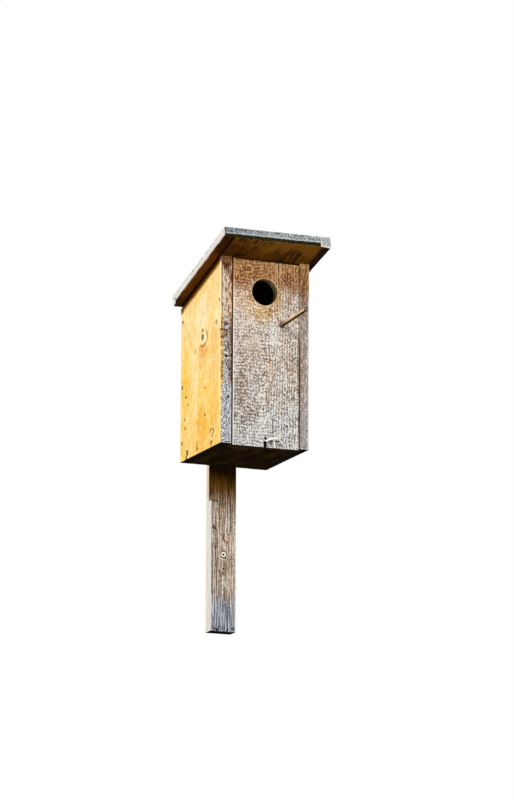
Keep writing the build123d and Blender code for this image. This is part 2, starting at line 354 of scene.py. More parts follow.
class Wood:
    """A node-based wood. Its fields are across, deep and along the grain, in millimetres."""

    def __init__(self, name, across=(1, 0, 0), deep=(0, 1, 0), along=(0, 0, 1), origin=(0, 0, 0),
                 roughness=0.85, gloss=0.0):
        self.material = bpy.data.materials.new(name)
        self.material.use_nodes = True
        self.nodes = self.material.node_tree.nodes
        self.links = self.material.node_tree.links
        self.surface = self.nodes["Principled BSDF"]
        self.surface.inputs["Roughness"].default_value = roughness
        self.surface.inputs["Specular IOR Level"].default_value = gloss
        self.origin = Vector(origin)
        position = self.nodes.new("ShaderNodeTexCoord").outputs["Object"]
        position = self.vector("SCALE", position, scale=1 / mm)
        self.position = self.vector("SUBTRACT", position, self.origin)
        self.across = self.dot(across)
        self.deep = self.dot(deep)
        self.along = self.dot(along)
        joined = self.nodes.new("ShaderNodeCombineXYZ")
        for socket, field in zip(joined.inputs, (self.across, self.deep, self.along)):
            self.put(field, socket)
        self.place = joined.outputs[0]
        split = self.nodes.new("ShaderNodeSeparateXYZ")
        self.put(self.position, split.inputs[0])
        self.x, self.y, self.z = (Field(self, socket) for socket in split.outputs)
        self.ragged = self.noise(3, 7, detail=4, roughness=0.7)

    def put(self, value, socket):
        if isinstance(value, Field):
            value = value.socket
        if isinstance(value, bpy.types.NodeSocket):
            self.links.new(value, socket)
        else:
            socket.default_value = value

    def math(self, name, *values):
        node = self.nodes.new("ShaderNodeMath")
        node.operation = name
        for value, socket in zip(values, node.inputs):
            self.put(value, socket)
        return Field(self, node.outputs[0])

    def vector(self, name, *values, scale=None):
        node = self.nodes.new("ShaderNodeVectorMath")
        node.operation = name
        for value, socket in zip(values, node.inputs):
            self.put(value, socket)
        if scale is not None:
            node.inputs["Scale"].default_value = scale
        return node.outputs["Value"] if name == "DOT_PRODUCT" else node.outputs["Vector"]

    def dot(self, axis):
        return Field(self, self.vector("DOT_PRODUCT", self.position, axis))

    def smooth(self, value, low, high):
        node = self.nodes.new("ShaderNodeMapRange")
        node.interpolation_type = "SMOOTHSTEP"
        for socket, entry in zip(node.inputs, (value, low, high, 0.0, 1.0)):
            self.put(entry, socket)
        return Field(self, node.outputs[0])

    def noise(self, across, along, deep=None, detail=2.0, roughness=0.5, shift=0.0):
        """Soft noise about 0.5, with lumps of about the given sizes, as deep as they are across
        unless a depth is given."""
        shares = (1 / across, 1 / (deep or across), 1 / along)
        place = self.vector("MULTIPLY_ADD", self.place, shares, (shift, 1.7 * shift, 2.3 * shift))
        node = self.nodes.new("ShaderNodeTexNoise")
        self.put(place, node.inputs["Vector"])
        for name, value in (("Scale", 1.0), ("Detail", detail), ("Roughness", roughness)):
            node.inputs[name].default_value = value
        return Field(self, node.outputs[0])

    def jitter(self, size):
        """A ragged wander of a place or of a rim, by up to about half a size each way."""
        return (self.ragged - 0.5) * size

    def mix(self, share, first, second):
        """The first colour, with as much of the second as the share says."""
        node = self.nodes.new("ShaderNodeMix")
        node.data_type = "RGBA"
        for index, value in ((0, share), (6, first), (7, second)):
            self.put(paint(value) if isinstance(value, str) else value, node.inputs[index])
        return Field(self, node.outputs[2])

    def spread(self, across, along, half_across, half_along, over=None):
        """Squared distance from a point of the face, 1 at the rim of an oval about it."""
        u = ((over or self.across) - across) / half_across
        v = (self.along - along) / half_along
        return u * u + v * v

    def blot(self, across, along, half_across, half_along, ragged=1.0, soft=1.0, over=None, rim=None):
        """1 inside an oval mark and 0 outside, with a ragged and more or less soft rim. The
        mark lies on the face that across runs over, or on another one that is named."""
        far = self.spread(across, along, half_across, half_along, over)
        far = far + ((rim or self.ragged) - 0.5) * ragged
        return far.smooth(1.0 + 0.6 * soft, 1.0 - 0.7 * soft)

    def line(self, field, at, half, from_along, to_along):
        """1 on a thin line along the grain, between two places, with tapered ends."""
        inside = self.band(self.along, from_along, to_along, 6.0)
        return self.math("ABSOLUTE", field - at).smooth(half, 0.3 * half) * inside

    def band(self, field, low, high, soft=1.0):
        """1 between two values of a field, with soft ends."""
        return field.smooth(low - soft, low + soft) * field.smooth(high + soft, high - soft)

    def stroke(self, places, half, soft=0.5, squeeze=1.0, over=None, up=None):
        """1 on a drawn line through some (across, along) places of the face, or of another one
        that is named. A squeeze under 1 makes it wider across than along."""
        drawn = None
        for (u, v), (u_end, v_end) in zip(places, places[1:]):
            du, dv = (u_end - u) * squeeze, v_end - v
            from_u, from_v = ((over or self.across) - u) * squeeze, (up or self.along) - v
            share = (from_u * du + from_v * dv) / (du * du + dv * dv)
            share = self.math("MINIMUM", self.math("MAXIMUM", share, 0.0), 1.0)
            off_u, off_v = from_u - share * du, from_v - share * dv
            far = self.math("SQRT", off_u * off_u + off_v * off_v) + self.jitter(half)
            near = far.smooth(half * (1 + soft), half * (1 - soft))
            drawn = near if drawn is None else self.math("MAXIMUM", drawn, near)
        return drawn

    def wave(self, turns):
        """A wave from 0 to 1, one for each whole turn."""
        return self.math("SINE", turns * (2 * pi)) * 0.5 + 0.5

    def sawn(self, row, shift):
        """High where a coarse saw's cross marks meet open grain, and low on the ridges."""
        column = 4.6
        drift = self.noise(26, 9, shift=shift)
        rows = self.wave(self.along / row + drift * 2.4)
        columns = self.noise(column, 80, shift=shift + 1).smooth(0.38, 0.62)
        crumbs = self.noise(1.05 * column, 0.9 * row, roughness=0.6, shift=shift + 2)
        return rows * 0.30 + columns * 0.26 + crumbs.smooth(0.34, 0.66) * 0.44

    def rings(self, pith, spacing, knots, waver=12.0, shift=0.0):
        """Yearly rings about a pith, bent round the knots: 0 in spring wood, 1 in late wood."""
        u = self.across - pith[0]
        v = self.deep - pith[1]
        radius = self.math("SQRT", u * u + v * v)
        radius = radius + (self.noise(60, 260, shift=shift) - 0.5) * waver
        radius = radius + (self.noise(9, 60, shift=shift + 3) - 0.5) * (0.45 * spacing)
        for across, along, half_across, half_along, push in knots:
            far = self.spread(across, along, half_across * 1.5, half_along * 2.2)
            radius = radius + self.math("EXPONENT", far * -1.0) * push
        return self.math("FRACT", radius / spacing) ** 2.2

    def knot(self, colour, knots, core, rim):
        """The dark heart of each knot, with its own small rings and a darker rim."""
        for *oval, _ in knots:
            far = self.spread(*oval) + self.jitter(0.9)
            inner = self.math("FRACT", self.math("SQRT", self.math("ABSOLUTE", far)) * 3.5)
            heart = self.mix(inner * 0.7, core, rim)
            colour.lay(far.smooth(1.15, 0.7) * 0.85, heart)
            colour.lay(far.smooth(0.75, 1.0) * far.smooth(1.45, 1.1) * 0.85, rim)

    def stain(self, colour, stains, ragged=1.4, soft=1.3, rim=None):
        """Soft patches: across, along, their half sizes, tone and strength."""
        for across, along, wide, tall, tone, share in stains:
            colour.lay(self.blot(across, along, wide, tall, ragged, soft, rim=rim) * share, tone)

    def draw(self, colour, strokes, squeeze=1.0, start=(0, 0)):
        """Drawn lines: their half width, strength, tone and places, which count from a start."""
        for half, share, tone, *places in strokes:
            places = [(across + start[0], along + start[1]) for across, along in places]
            colour.lay(self.stroke(places, half, squeeze=squeeze) * share, tone)

    def edge(self, low, high):
        """Distance to the nearest arris of a box, in millimetres."""
        gaps = []
        for field, start, end in zip((self.x, self.y, self.z), low / mm, high / mm):
            gaps.append(self.math("MINIMUM", field - start, end - field))
        first, second, third = gaps
        inner = self.math("MINIMUM", self.math("MAXIMUM", first, second), third)
        return self.math("MAXIMUM", self.math("MINIMUM", first, second), inner)

    def finish(self, colour, height, depth_mm):
        """Join up the colour and a bump of the given depth, and hand over the material."""
        self.put(colour, self.surface.inputs["Base Color"])
        bump = self.nodes.new("ShaderNodeBump")
        bump.inputs["Distance"].default_value = depth_mm * mm
        self.put(height, bump.inputs["Height"])
        self.put(bump.outputs[0], self.surface.inputs["Normal"])
        return self.material


def nail_marks(wood, colour, side):
    """A dark ring round each nail of a side wall, and a faint rust run below it."""
    for name in nails_in(side):
        at = middle_of(name) / mm - wood.origin
        colour.lay(wood.blot(at.y, at.z, 3.8, 3.6, ragged=0.8) * 0.6, "#4A2E1C")
        colour.lay(wood.blot(at.y, at.z - 9, 3.0, 11, ragged=1.2) * 0.25, "#A8702C")


def left_wall_wood():
    """Places run from the wall's front edge and from its foot."""
    origin = (0, front_y / mm, 0)
    wood = Wood("fresh_softwood", across=(0, 1, 0), deep=(1, 0, 0), origin=origin)
    depth = wood.across
    outer = wood.x - left_low.x / mm
    knots = (
        (85.5, 206.0, 19.0, 16.0, -9.0),
        (25, 221.0, 8.0, 9.0, -5.0),
        (40, 26.0, 12.0, 10.0, -7.0),
    )
    rings = wood.rings((103, 46.0), 8.5, knots, waver=22.0)
    broad = wood.noise(46, 120, shift=4).smooth(0.38, 0.62)
    patch = wood.noise(28, 40, detail=4, roughness=0.6, shift=5)
    streak = wood.noise(12, 110, detail=3, roughness=0.6, shift=7).smooth(0.36, 0.66)
    fibre = wood.noise(7, 16, detail=1, shift=9)
    fleck = wood.noise(7, 5, detail=1, shift=10)

    # The sunny outer face: cream above, orange-yellow below
    low = (wood.z + (patch - 0.5) * 140).smooth(250, 80)
    colour = wood.mix(streak * 0.6, "#FADD9E", "#F8D182")
    colour.lay(low * 0.75, "#FBCB5C")
    colour.lay(broad * 0.2, "#F4C868")
    colour.lay(patch.smooth(0.48, 0.62) * 0.25, "#F2B856")
    colour.lay(rings * 0.10, "#D99A36")
    wood.stain(colour, (
        (123, 150, 15, 90, "#FAE2B4", 0.45),
        (87, 250, 30, 34, "#FBE6C4", 0.45),
        (171, 150, 16, 60, "#F6BE2E", 0.65),
        (149, 262, 20, 16, "#F8D690", 0.35),
        (32, 150, 22, 60, "#F7BE78", 0.40),
        (57, 44, 24, 60, "#F6C254", 0.30),
        (93, 36, 22, 44, "#F0A424", 0.60),
        (111, 20, 10, 20, "#F4C870", 0.40),
        (69, 6, 16, 14, "#F6C870", 0.35),
        (33, 55, 16, 24, "#F0AC48", 0.40),
        (31, 194, 10, 24, "#F0AC58", 0.50),
        (89, 172, 26, 18, "#F0AE58", 0.45),
        (23, 228, 14, 18, "#FAEBC8", 0.50),
        (145, 40, 20, 60, "#F9D48C", 0.45),
    ), ragged=3.4, rim=patch)
    colour.lay(fibre.smooth(0.52, 0.62) * 0.16, "#B98A48")
    colour.lay(fibre.smooth(0.48, 0.38) * 0.22, "#FFF3D0")
    colour.lay(fleck.smooth(0.60, 0.68) * 0.25, "#A08040")

    # The big knot: a pale heart with grey specks in it, and a brown bowl to its right
    oval = wood.math("SQRT", wood.spread(85.5, 206.0, 19.0, 16.0)) + wood.jitter(0.3)
    colour.lay(oval.smooth(1.0, 0.6) * 0.4, "#F8E4B0")
    side = (wood.across * -0.8 - wood.z + wood.jitter(14)).smooth(-282, -262)
    bowl = wood.band(oval, 0.84, 1.12, 0.12) * side
    colour.lay(bowl * 0.9, "#9C5C1C")
    colour.lay(wood.blot(74, 203, 5, 7, 0.6) * 0.8, "#FFF2CE")
    wood.stain(colour, (
        (88, 219.0, 5.0, 3.6, "#6E5F3C", 0.85),
        (88.6, 207.0, 6.0, 6.5, "#5E5646", 0.90),
        (99, 189, 8.0, 5.0, "#DC9238", 0.55),
        (91, 178, 6.0, 10.0, "#C9862C", 0.50),
        (79, 176, 6.0, 9.0, "#D28E34", 0.45),
        (69, 181, 6.0, 7.0, "#D6923C", 0.45),
        (24, 221, 5.0, 4.6, "#7E7F44", 0.80),
        (123, 188, 5.0, 5.0, "#B59A58", 0.60),
        (76, 64, 4.0, 2.2, "#6A4818", 0.85),
        (74, 113, 4.0, 2.2, "#9A7030", 0.70),
        (155, 98, 6.0, 3.0, "#B07A28", 0.60),
        (166, 113.5, 4.6, 2.4, "#5E4820", 0.85),
        (172, 74, 4.4, 3.0, "#7A6434", 0.75),
        (169, 58, 4.4, 3.6, "#7A6434", 0.75),
    ), ragged=0.8, soft=0.7)
    hook = ((50, 28), (45, 32), (37, 32), (33, 27.5), (38, 23), (42, 18))
    colour.lay(wood.blot(45, 22, 12, 9, 0.8) * 0.45, "#F8DCA4")
    colour.lay(wood.stroke(hook, 1.4, squeeze=0.42) * 0.75, "#8A5218")
    nail_marks(wood, colour, "left")
    wood.draw(colour, (
        (1.3, 0.60, "#A05A3C", (49, 9), (46, 3)),
        (1.3, 0.85, "#4A2A08", (164, 16), (157, 14), (156, 9), (163, 6), (163, 0), (158, -1)),
        (1.2, 0.55, "#A8640C", (112, 24), (113, 14), (114, 8)),
    ), squeeze=0.42)

    # A painted highlight on the rear arris, and right under the roof a brown band: the sheltered wood's
    # tone with a painted shadow of the roof over it, darkest where roof and wall meet
    rear = (left_high.y - front_y) / mm
    colour.lay((rear - depth).smooth(5, 2.0) * 0.8, "#FBF0CC")
    roof_at = front_wall_height / mm - depth * tan(roof_slope)
    under = roof_at - wood.z + wood.jitter(6)
    colour.lay(under.smooth(14, 10) * 0.85, "#C8841C")
    colour.lay(under.smooth(9, 3) * 0.85, "#5E2C04")

    # Fields for the front edge
    speckle = wood.noise(2.5, 2.9, detail=1, shift=12).smooth(0.47, 0.55)
    dash = wood.noise(2.4, 9, detail=1, shift=13).smooth(0.48, 0.57)
    crumb = wood.noise(5.0, 6.0, detail=2, shift=14).smooth(0.44, 0.60)
    rise = wood.jitter(16)
    right = outer + rise * 0.2

    # Tan with dark dashes near the top, whitish at the left, and painted shade right under the roof
    edge = wood.mix(crumb, "#EAC8A0", "#C8986C")
    edge.lay(right.smooth(7.5, 4.0) * 0.5, "#F6EADC")
    edge.lay(wood.band(right, 9.5, 12, 1) * wood.band(wood.z, 276, 306, 6) * 0.7, "#F3DCCB")
    edge.lay(dash * 0.75, "#7E4E28")
    edge.lay(speckle * 0.50, "#6E4426")
    slant = right + (wood.z - 243) * 0.26
    grey_bark = wood.band(slant, 5.0, 10.0, 1.4) * wood.band(wood.z, 222, 266, 6)
    edge.lay(grey_bark * 0.85, wood.mix(dash, "#DAD6D2", "#86807C"))
    shade = (wood.z + rise - outer * 0.9).smooth(296, 312)
    edge.lay(shade * 0.85, wood.mix(dash, "#8A5424", "#4A2810"))
    light = dash.smooth(0.35, 0.0) * wood.z.smooth(222, 236)
    edge.lay(light * (1 - shade) * 0.55, "#FBE6CC")
    streak_at = ((-82, 320), (-81, 296), (-79.5, 268), (-78, 252))
    edge.lay(wood.stroke(streak_at, 1.3, over=wood.x) * 0.65, "#EFE4DA")
    dark_rim = wood.stroke(((-84.2, 312), (-84.0, 262), (-83.6, 236)), 0.9, over=wood.x)
    edge.lay(dark_rim * 0.8, "#6A4A2A")
    # A red-brown slash from the top outer corner downwards: partly a red stain, partly a painted shadow
    # of the roof's overhang
    slash = ((-85, 326), (-75, 314), (-67, 304), (-65, 290))
    red = wood.stroke(slash, 4.4, 0.8, over=wood.x)
    edge.lay(red * 0.75, wood.mix(dash, "#6E2E18", "#3E150A"))

    # Bark at mid height: white, grey and black crumbs, and browner at the right
    barked = wood.band(wood.z + rise, 106, 224, 5)
    bark = wood.mix(crumb, "#D6D2C8", "#8E867A")
    bark.lay(speckle * 0.95, "#2A241E")
    bark.lay(dash * 0.45, "#FAF8F4")
    bark.lay(right.smooth(12.5, 16) * 0.65, wood.mix(speckle, "#A87A62", "#4A261A"))
    edge.lay(barked, bark)
    bare = wood.blot(-76, 124, 4.4, 15, 1.2, over=wood.x)
    edge.lay(bare * 0.8, wood.mix(speckle, "#CBD0D3", "#8E969C"))

    # Blue-grey at the foot
    foot = (wood.z + rise).smooth(110, 103)
    grey = wood.mix(crumb, "#DDE2E5", "#A8AFB5")
    grey.lay(speckle * 0.92, "#3E434E")
    grey.lay(dash * 0.40, "#FAFBFC")
    edge.lay(foot, grey)
    tan_rim = (outer + wood.jitter(3)).smooth(3.2, 1.6) * foot
    edge.lay(tan_rim * 0.75, wood.mix(speckle, "#F0DFBC", "#A07048"))
    edge.lay(right.smooth(17.5, 19) * foot * 0.6, "#E8E6E2")
    edge.lay(wood.blot(-76, 214, 4.6, 3.8, 0.8, over=wood.x) * 0.9, "#5A3E38")
    edge.lay(wood.blot(-74.5, 220.5, 5.0, 1.4, 1.2, over=wood.x) * 0.8, "#F0ECE6")
    ring = wood.spread(-76, 213, 6.0, 7.0, over=wood.x)
    edge.lay(wood.band(ring, 0.6, 1.2, 0.3) * 0.7, "#C9A79C")
    edge.lay(wood.blot(-75, 156, 3.6, 2.6, 0.9, over=wood.x), "#14100E")
    edge.lay(wood.blot(-75.5, 162, 4.0, 1.5, 0.9, over=wood.x) * 0.9, "#F4F0EA")
    edge.lay(wood.blot(-71, 83, 2.6, 3.0, 1.2, over=wood.x) * 0.8, "#23242C")

    # The wane: golden bast with dark outlines, and a painted highlight on the arris towards the sunny
    # face
    bast = wood.mix(crumb, "#DDB068", "#946230")
    bast.lay(speckle * 0.45, "#FAEBC6")
    rims_of_flakes = wood.math("ABSOLUTE", wood.noise(4, 7, detail=1, shift=16) - 0.5)
    bast.lay(rims_of_flakes.smooth(0.10, 0.03) * 0.85, "#4E2E0E")
    bast.lay((wood.z + rise).smooth(230, 246), wood.mix(dash, "#F1E2C4", "#B98E58"))
    on_wane = depth.smooth(0.4, 0.9) * outer.smooth(0.4, 0.9) * (depth + outer).smooth(10, 9)
    worn = (outer + wood.jitter(7)).smooth(5.4, 4.0) * wood.band(wood.z + rise, 106, 230, 6)
    on_wane = wood.math("MAXIMUM", on_wane, worn * depth.smooth(3, 1.5))
    on_front = depth.smooth(1.5, 0.9) * (1 - worn)
    rim = depth.smooth(0.4, 0.8) * (depth + wood.jitter(6)).smooth(12, 6) * outer.smooth(1.4, 0.8)
    colour.lay(rim * 0.45, "#FCEBC0")
    colour.lay(on_front, edge)
    colour.lay(on_wane * (1 - on_front), bast)

    # An old branch across the wane, with a dark outline and a split over it
    far = wood.spread(-82.0, 196.0, 8.0, 6.4, over=wood.x) + wood.jitter(0.6)
    near = depth.smooth(8, 4)
    heart = wood.mix((wood.z - wood.x * 0.5).smooth(232, 240), "#B27C2C", "#B89A8C")
    heart.lay(speckle * 0.6, "#4E2E16")
    colour.lay(far.smooth(1.15, 0.85) * near * 0.7, heart)
    outline = wood.band(far, 0.75, 1.25, 0.2) * wood.z.smooth(201, 196) * near
    colour.lay(outline * 0.9, "#3E200C")
    split = wood.band(wood.z + wood.jitter(1.5) + outer * 0.1, 202.4, 204.8, 0.4)
    split = split * outer.smooth(16, 12) * depth.smooth(10, 5)
    colour.lay(split * 0.9, "#1E120C")

    # Underside nearly black as painted shade; rear edge and inner face browner, out of the sun
    below = wood.z.smooth(0.9, 0.3)
    colour.lay(below, wood.mix(speckle, "#1E1812", "#0E0A08"))
    behind = (rear - depth).smooth(1.0, 0.4)
    colour.lay(behind, wood.mix(streak, "#A28A68", "#6E5A44"))
    inner = left_high.x / mm - wood.x
    inside = inner.smooth(1.0, 0.3) * depth.smooth(0.4, 1.0)
    colour.lay(inside, wood.mix(streak, "#7A4E28", "#5A3418"))

    height = rings * 0.3 + fibre * 0.8 + on_front * (speckle * -1.2 + crumb * -0.6)
    return wood.finish(colour, height, depth_mm=0.4)


def front_board_wood():
    wood = Wood("weathered_softwood")
    knots = ((-50.0, 104.0, 5.0, 9.0, 6.0), (44.0, 196.0, 4.0, 6.0, -5.0))
    rings = wood.rings((6.0, -262.0), 4.4, knots)
    grit = wood.noise(2.3, 3.2, detail=1, shift=2).smooth(0.38, 0.62)
    crumb = wood.noise(4.8, 4.4, detail=1, shift=3).smooth(0.36, 0.64)
    broad = wood.noise(26, 60, detail=3, shift=6).smooth(0.36, 0.64)
    warm = wood.noise(13, 34, detail=3, roughness=0.6, shift=8).smooth(0.42, 0.66)
    strength = wood.noise(17, 26, detail=2, shift=10).smooth(0.30, 0.62) * 0.4 + 0.6
    strength = strength - wood.blot(-38, 206, 40, 50, 1.0, soft=1.3) * 0.2

    # Pale pinkish grey, warmer in patches, cooler towards the foot
    colour = wood.mix(broad, "#E6DBD0", "#D8C9BB")
    colour.lay(warm * 0.35, "#C9AF95")
    cool = (wood.z + (broad - 0.5) * 60).smooth(150, 30)
    colour.lay(cool * 0.75, "#D0D3D5")
    wood.stain(colour, (
        (-8, 262, 56, 36, "#E6BE8A", 0.65),
        (-48, 104, 12, 34, "#A0846E", 0.60),
        (-34, 66, 22, 26, "#A99A8A", 0.50),
        (-7, 70, 7, 70, "#F0EBE2", 0.60),
        (4, 86, 6, 22, "#B8A07C", 0.55),
        (8.5, 155.7, 3.2, 8, "#D9A040", 0.85),
        (5, 132, 7, 18, "#C9A27C", 0.45),
        (16, 196, 11, 42, "#F4F2EE", 0.80),
        (44, 150, 10, 18, "#A8866A", 0.55),
        (-3, 238, 17, 20, "#CDA14C", 0.45),
        (22, 262, 6, 26, "#CFA24C", 0.65),
        (-25, 262, 4, 22, "#CFA552", 0.50),
        (-46, 190, 12, 70, "#E2CFC4", 0.50),
        (42, 250, 16, 40, "#CFCCCC", 0.50),
        (52, 40, 10, 40, "#DAD6D0", 0.50),
        (-50, 170, 10, 20, "#B9A59A", 0.45),
        (-20, 126, 20, 22, "#B4A294", 0.45),
    ), ragged=1.8)

    # The sheltered top keeps its orange-brown, with a darker tide mark below it
    rise = wood.z + (wood.noise(15, 26, detail=4, shift=21) - 0.5) * 70
    shelter = rise.smooth(268, 304)
    colour.lay(shelter * 0.85, wood.mix(warm, "#C8904E", "#A86E36"))
    wood.stain(colour, (
        (-46, 289, 15, 13, "#A4633A", 0.70),
        (46, 304, 10, 12, "#8A5A4C", 0.75),
        (48, 282, 11, 14, "#A57458", 0.50),
        (-8, 306, 16, 8, "#B77E46", 0.50),
        (-28, 267, 3.6, 6, "#DCA348", 0.75),
        (-16, 236, 5, 6, "#E6B866", 0.80),
        (6, 238, 3, 7, "#9A8448", 0.60),
        (11, 260, 3, 8, "#A8782C", 0.60),
        (20, 270, 4.2, 7, "#DCA348", 0.75),
    ), ragged=2.2)

    # Grain crossed by saw marks, dark in them (dirt, and painted shade of the raised fibres), with
    # painted highlights on the ridges: mostly columns at the right, rows at the left
    right = (wood.x + wood.jitter(20)).smooth(-6, 12)
    column = wood.wave(wood.x / 5.0 + wood.noise(40, 60, shift=14) * 2.2)
    row = wood.wave(wood.z / 6.0 + wood.noise(26, 40, shift=15) * 2.0)
    saw = grit * 0.46 + crumb * 0.18 + column * (right * 0.18 + 0.13) + row * (0.23 - right * 0.18)
    upper = (wood.z + (broad - 0.5) * 50).smooth(165, 235)
    dark = wood.mix(upper, "#5C524C", "#8A6438")
    dark.lay(shelter, "#6E3C16")
    colour.lay(rings * 0.12, dark)
    marks = (saw + shelter * 0.05).smooth(0.36, 0.80) * strength
    colour.lay(marks * 0.95, dark)
    ridge = saw.smooth(0.42, 0.22)
    colour.lay(ridge * 0.55, wood.mix(shelter, "#FCF4E8", "#DFB67E"))
    for entry in knots:
        ring = wood.math("SQRT", wood.spread(*entry[:4]))
        colour.lay(wood.band(ring, 0.7, 1.0, 0.15) * 0.4, "#6A5242")

    # Cracks and specks
    thread = wood.x + (wood.noise(9, 14, shift=41) - 0.5) * 3.0
    for at, half, low, high, share in (
        (23.0, 1.0, 283, 335, 0.7), (13.0, 0.9, 20, 52, 0.9), (-6.0, 0.6, 296, 306, 0.7),
        (-23.1, 0.9, 298, 306, 0.8), (41, 0.6, 60, 200, 0.5), (52, 0.6, 30, 170, 0.5),
        (31, 0.6, 10, 120, 0.5), (-20, 0.5, 24, 70, 0.4), (-1.5, 0.6, 316, 335, 0.5),
    ):
        colour.lay(wood.line(thread, at, half, low, high) * share, "#33241A")
    for at in (20.6, 26.0):
        colour.lay(wood.line(thread, at, 0.9, 284, 335) * 0.7, "#F4D8AC")
    # Painted shade: a dark band along the top, under the roof
    painted_shade_under_roof = (wood.z - front_wall_height / mm + wood.jitter(3)).smooth(-5.5, -3.0)
    colour.lay(painted_shade_under_roof * 0.8, "#4A1E0C")
    colour.lay(wood.blot(8, 247, 2.6, 4.5, 1.2) * 0.75, "#8E4A1C")
    wood.draw(colour, (
        (0.9, 0.75, "#5E4434", (17.9, 133), (15, 127), (10.2, 114.5)),
        (0.8, 0.50, "#5E4E44", (22, 24), (31, 34)),
    ))
    colour.lay(wood.blot(39.8, 39.2, 2.2, 2.0, 0.5), "#15100C")
    wood.draw(colour, ((1.0, 0.60, "#4A3E38", (-47, 49), (-41, 47), (-36, 49)),))

    # The torn foot: painted shade in the dark slot, and painted shadows under the splinter and about
    # the bent nail
    flake = wood.blot(16, 3, 17, 11, 0.8, 0.6)
    colour.lay(flake * 0.6, wood.mix(marks, "#E2D8CE", "#6E6A76"))
    for x, z, wide, tall, ragged, tone, share in (
        (20.5, 6.5, 4.5, 5.5, 0.9, "#7E7E90", 0.6),
        (10.5, 7.5, 2.6, 4.0, 0.8, "#453A34", 0.8),
        (27.5, 5.5, 2.4, 2.6, 0.8, "#4A433E", 0.8),
        (-0.4, 14.4, 2.4, 2.4, 0.7, "#140F0C", 1.0),
    ):
        colour.lay(wood.blot(x, z, wide, tall, ragged) * share, tone)
    below_splinter = ((0, 7.4), (5, 9.8), (12, 11.4), (20, 10.6), (25, 11))
    wood.draw(colour, ((1.5, 0.90, "#241C16", *below_splinter),))

    # A painted highlight on the left arris, the worn rim of the entrance, and painted shade round the
    # perch's root with its painted shadow down to the right
    left = front_low.x / mm
    arris = (wood.x - left + wood.jitter(1.8)).smooth(2.6, 1.2)
    colour.lay(arris * 0.80, wood.mix(shelter, "#FFF6E6", "#D9A870"))
    around = wood.spread(entrance_x / mm, entrance_z / mm, entrance_radius / mm, entrance_radius / mm)
    worn = around.smooth(1.22, 1.08)
    colour.lay(worn * 0.5, wood.mix(shelter, "#E8CCA0", "#E3B886"))
    # Painted shade round the perch's root
    socket = wood.spread(30, 221, 4, 4)
    colour.lay(socket.smooth(3.0, 1.2) * 0.75, "#3E2A1C")
    wood.draw(colour, ((0.9, 0.80, "#4A3C34", (55.5, 227.5), (62.5, 225.5)),))
    colour.lay(wood.blot(59.6, 221.6, 3.4, 3.6, 0.8) * 0.8, "#F8F2EA")
    # Painted shadow of the perch, falling down to the right in a line and grey patches
    wood.draw(colour, ((1.3, 0.80, "#33241C", (27, 222), (34.5, 215.7)),))
    for x, z, wide, tall, share in (
        (41, 214.5, 5.2, 6.0, 0.60), (47.3, 206.5, 3.4, 3.4, 0.60), (55, 203, 9, 7, 0.35),
    ):
        colour.lay(wood.blot(x, z, wide, tall, 1.2, 0.8) * share, "#77707A")

    # The bore of the entrance, with painted shade on its upper side and deeper in; the gap faces and
    # the inner face are brown and dull
    face = wood.y - front_y / mm
    bored = around.smooth(1.10, 1.02) * face.smooth(0.3, 1.2)
    tool = wood.wave(face / 9.0 + wood.jitter(0.6))
    bore = wood.mix(tool, "#F2C890", "#3A200E")
    low_part = (wood.z - entrance_z / mm + wood.jitter(6)).smooth(2, -8)
    bore.lay(low_part * face.smooth(9, 5) * 0.7, "#E0B060")
    painted_shade_over_hole = (wood.z - wood.x * 0.4 - entrance_z / mm).smooth(10, 20)
    bore.lay(painted_shade_over_hole * 0.6, "#2E1A0E")
    bore.lay(face.smooth(12, 19) * 0.9, "#22160C")
    colour.lay(bored, bore)
    deep = face.smooth(1.0, 4.0) * (1 - bored)
    dirt = wood.mix(wood.z.smooth(190, 230), "#54301E", "#E88C50")
    dirt.lay(wood.z.smooth(24, 12), "#17100C")
    colour.lay(deep * 0.95, dirt)
    # Painted shade: the underside nearly black
    below = wood.z.smooth(front_low.z / mm + 0.8, front_low.z / mm + 0.2)
    colour.lay(below, wood.mix(marks, "#2A2018", "#120D0A"))

    height = rings * 0.3 + saw * -1.5
    return wood.finish(colour, height, depth_mm=0.6)


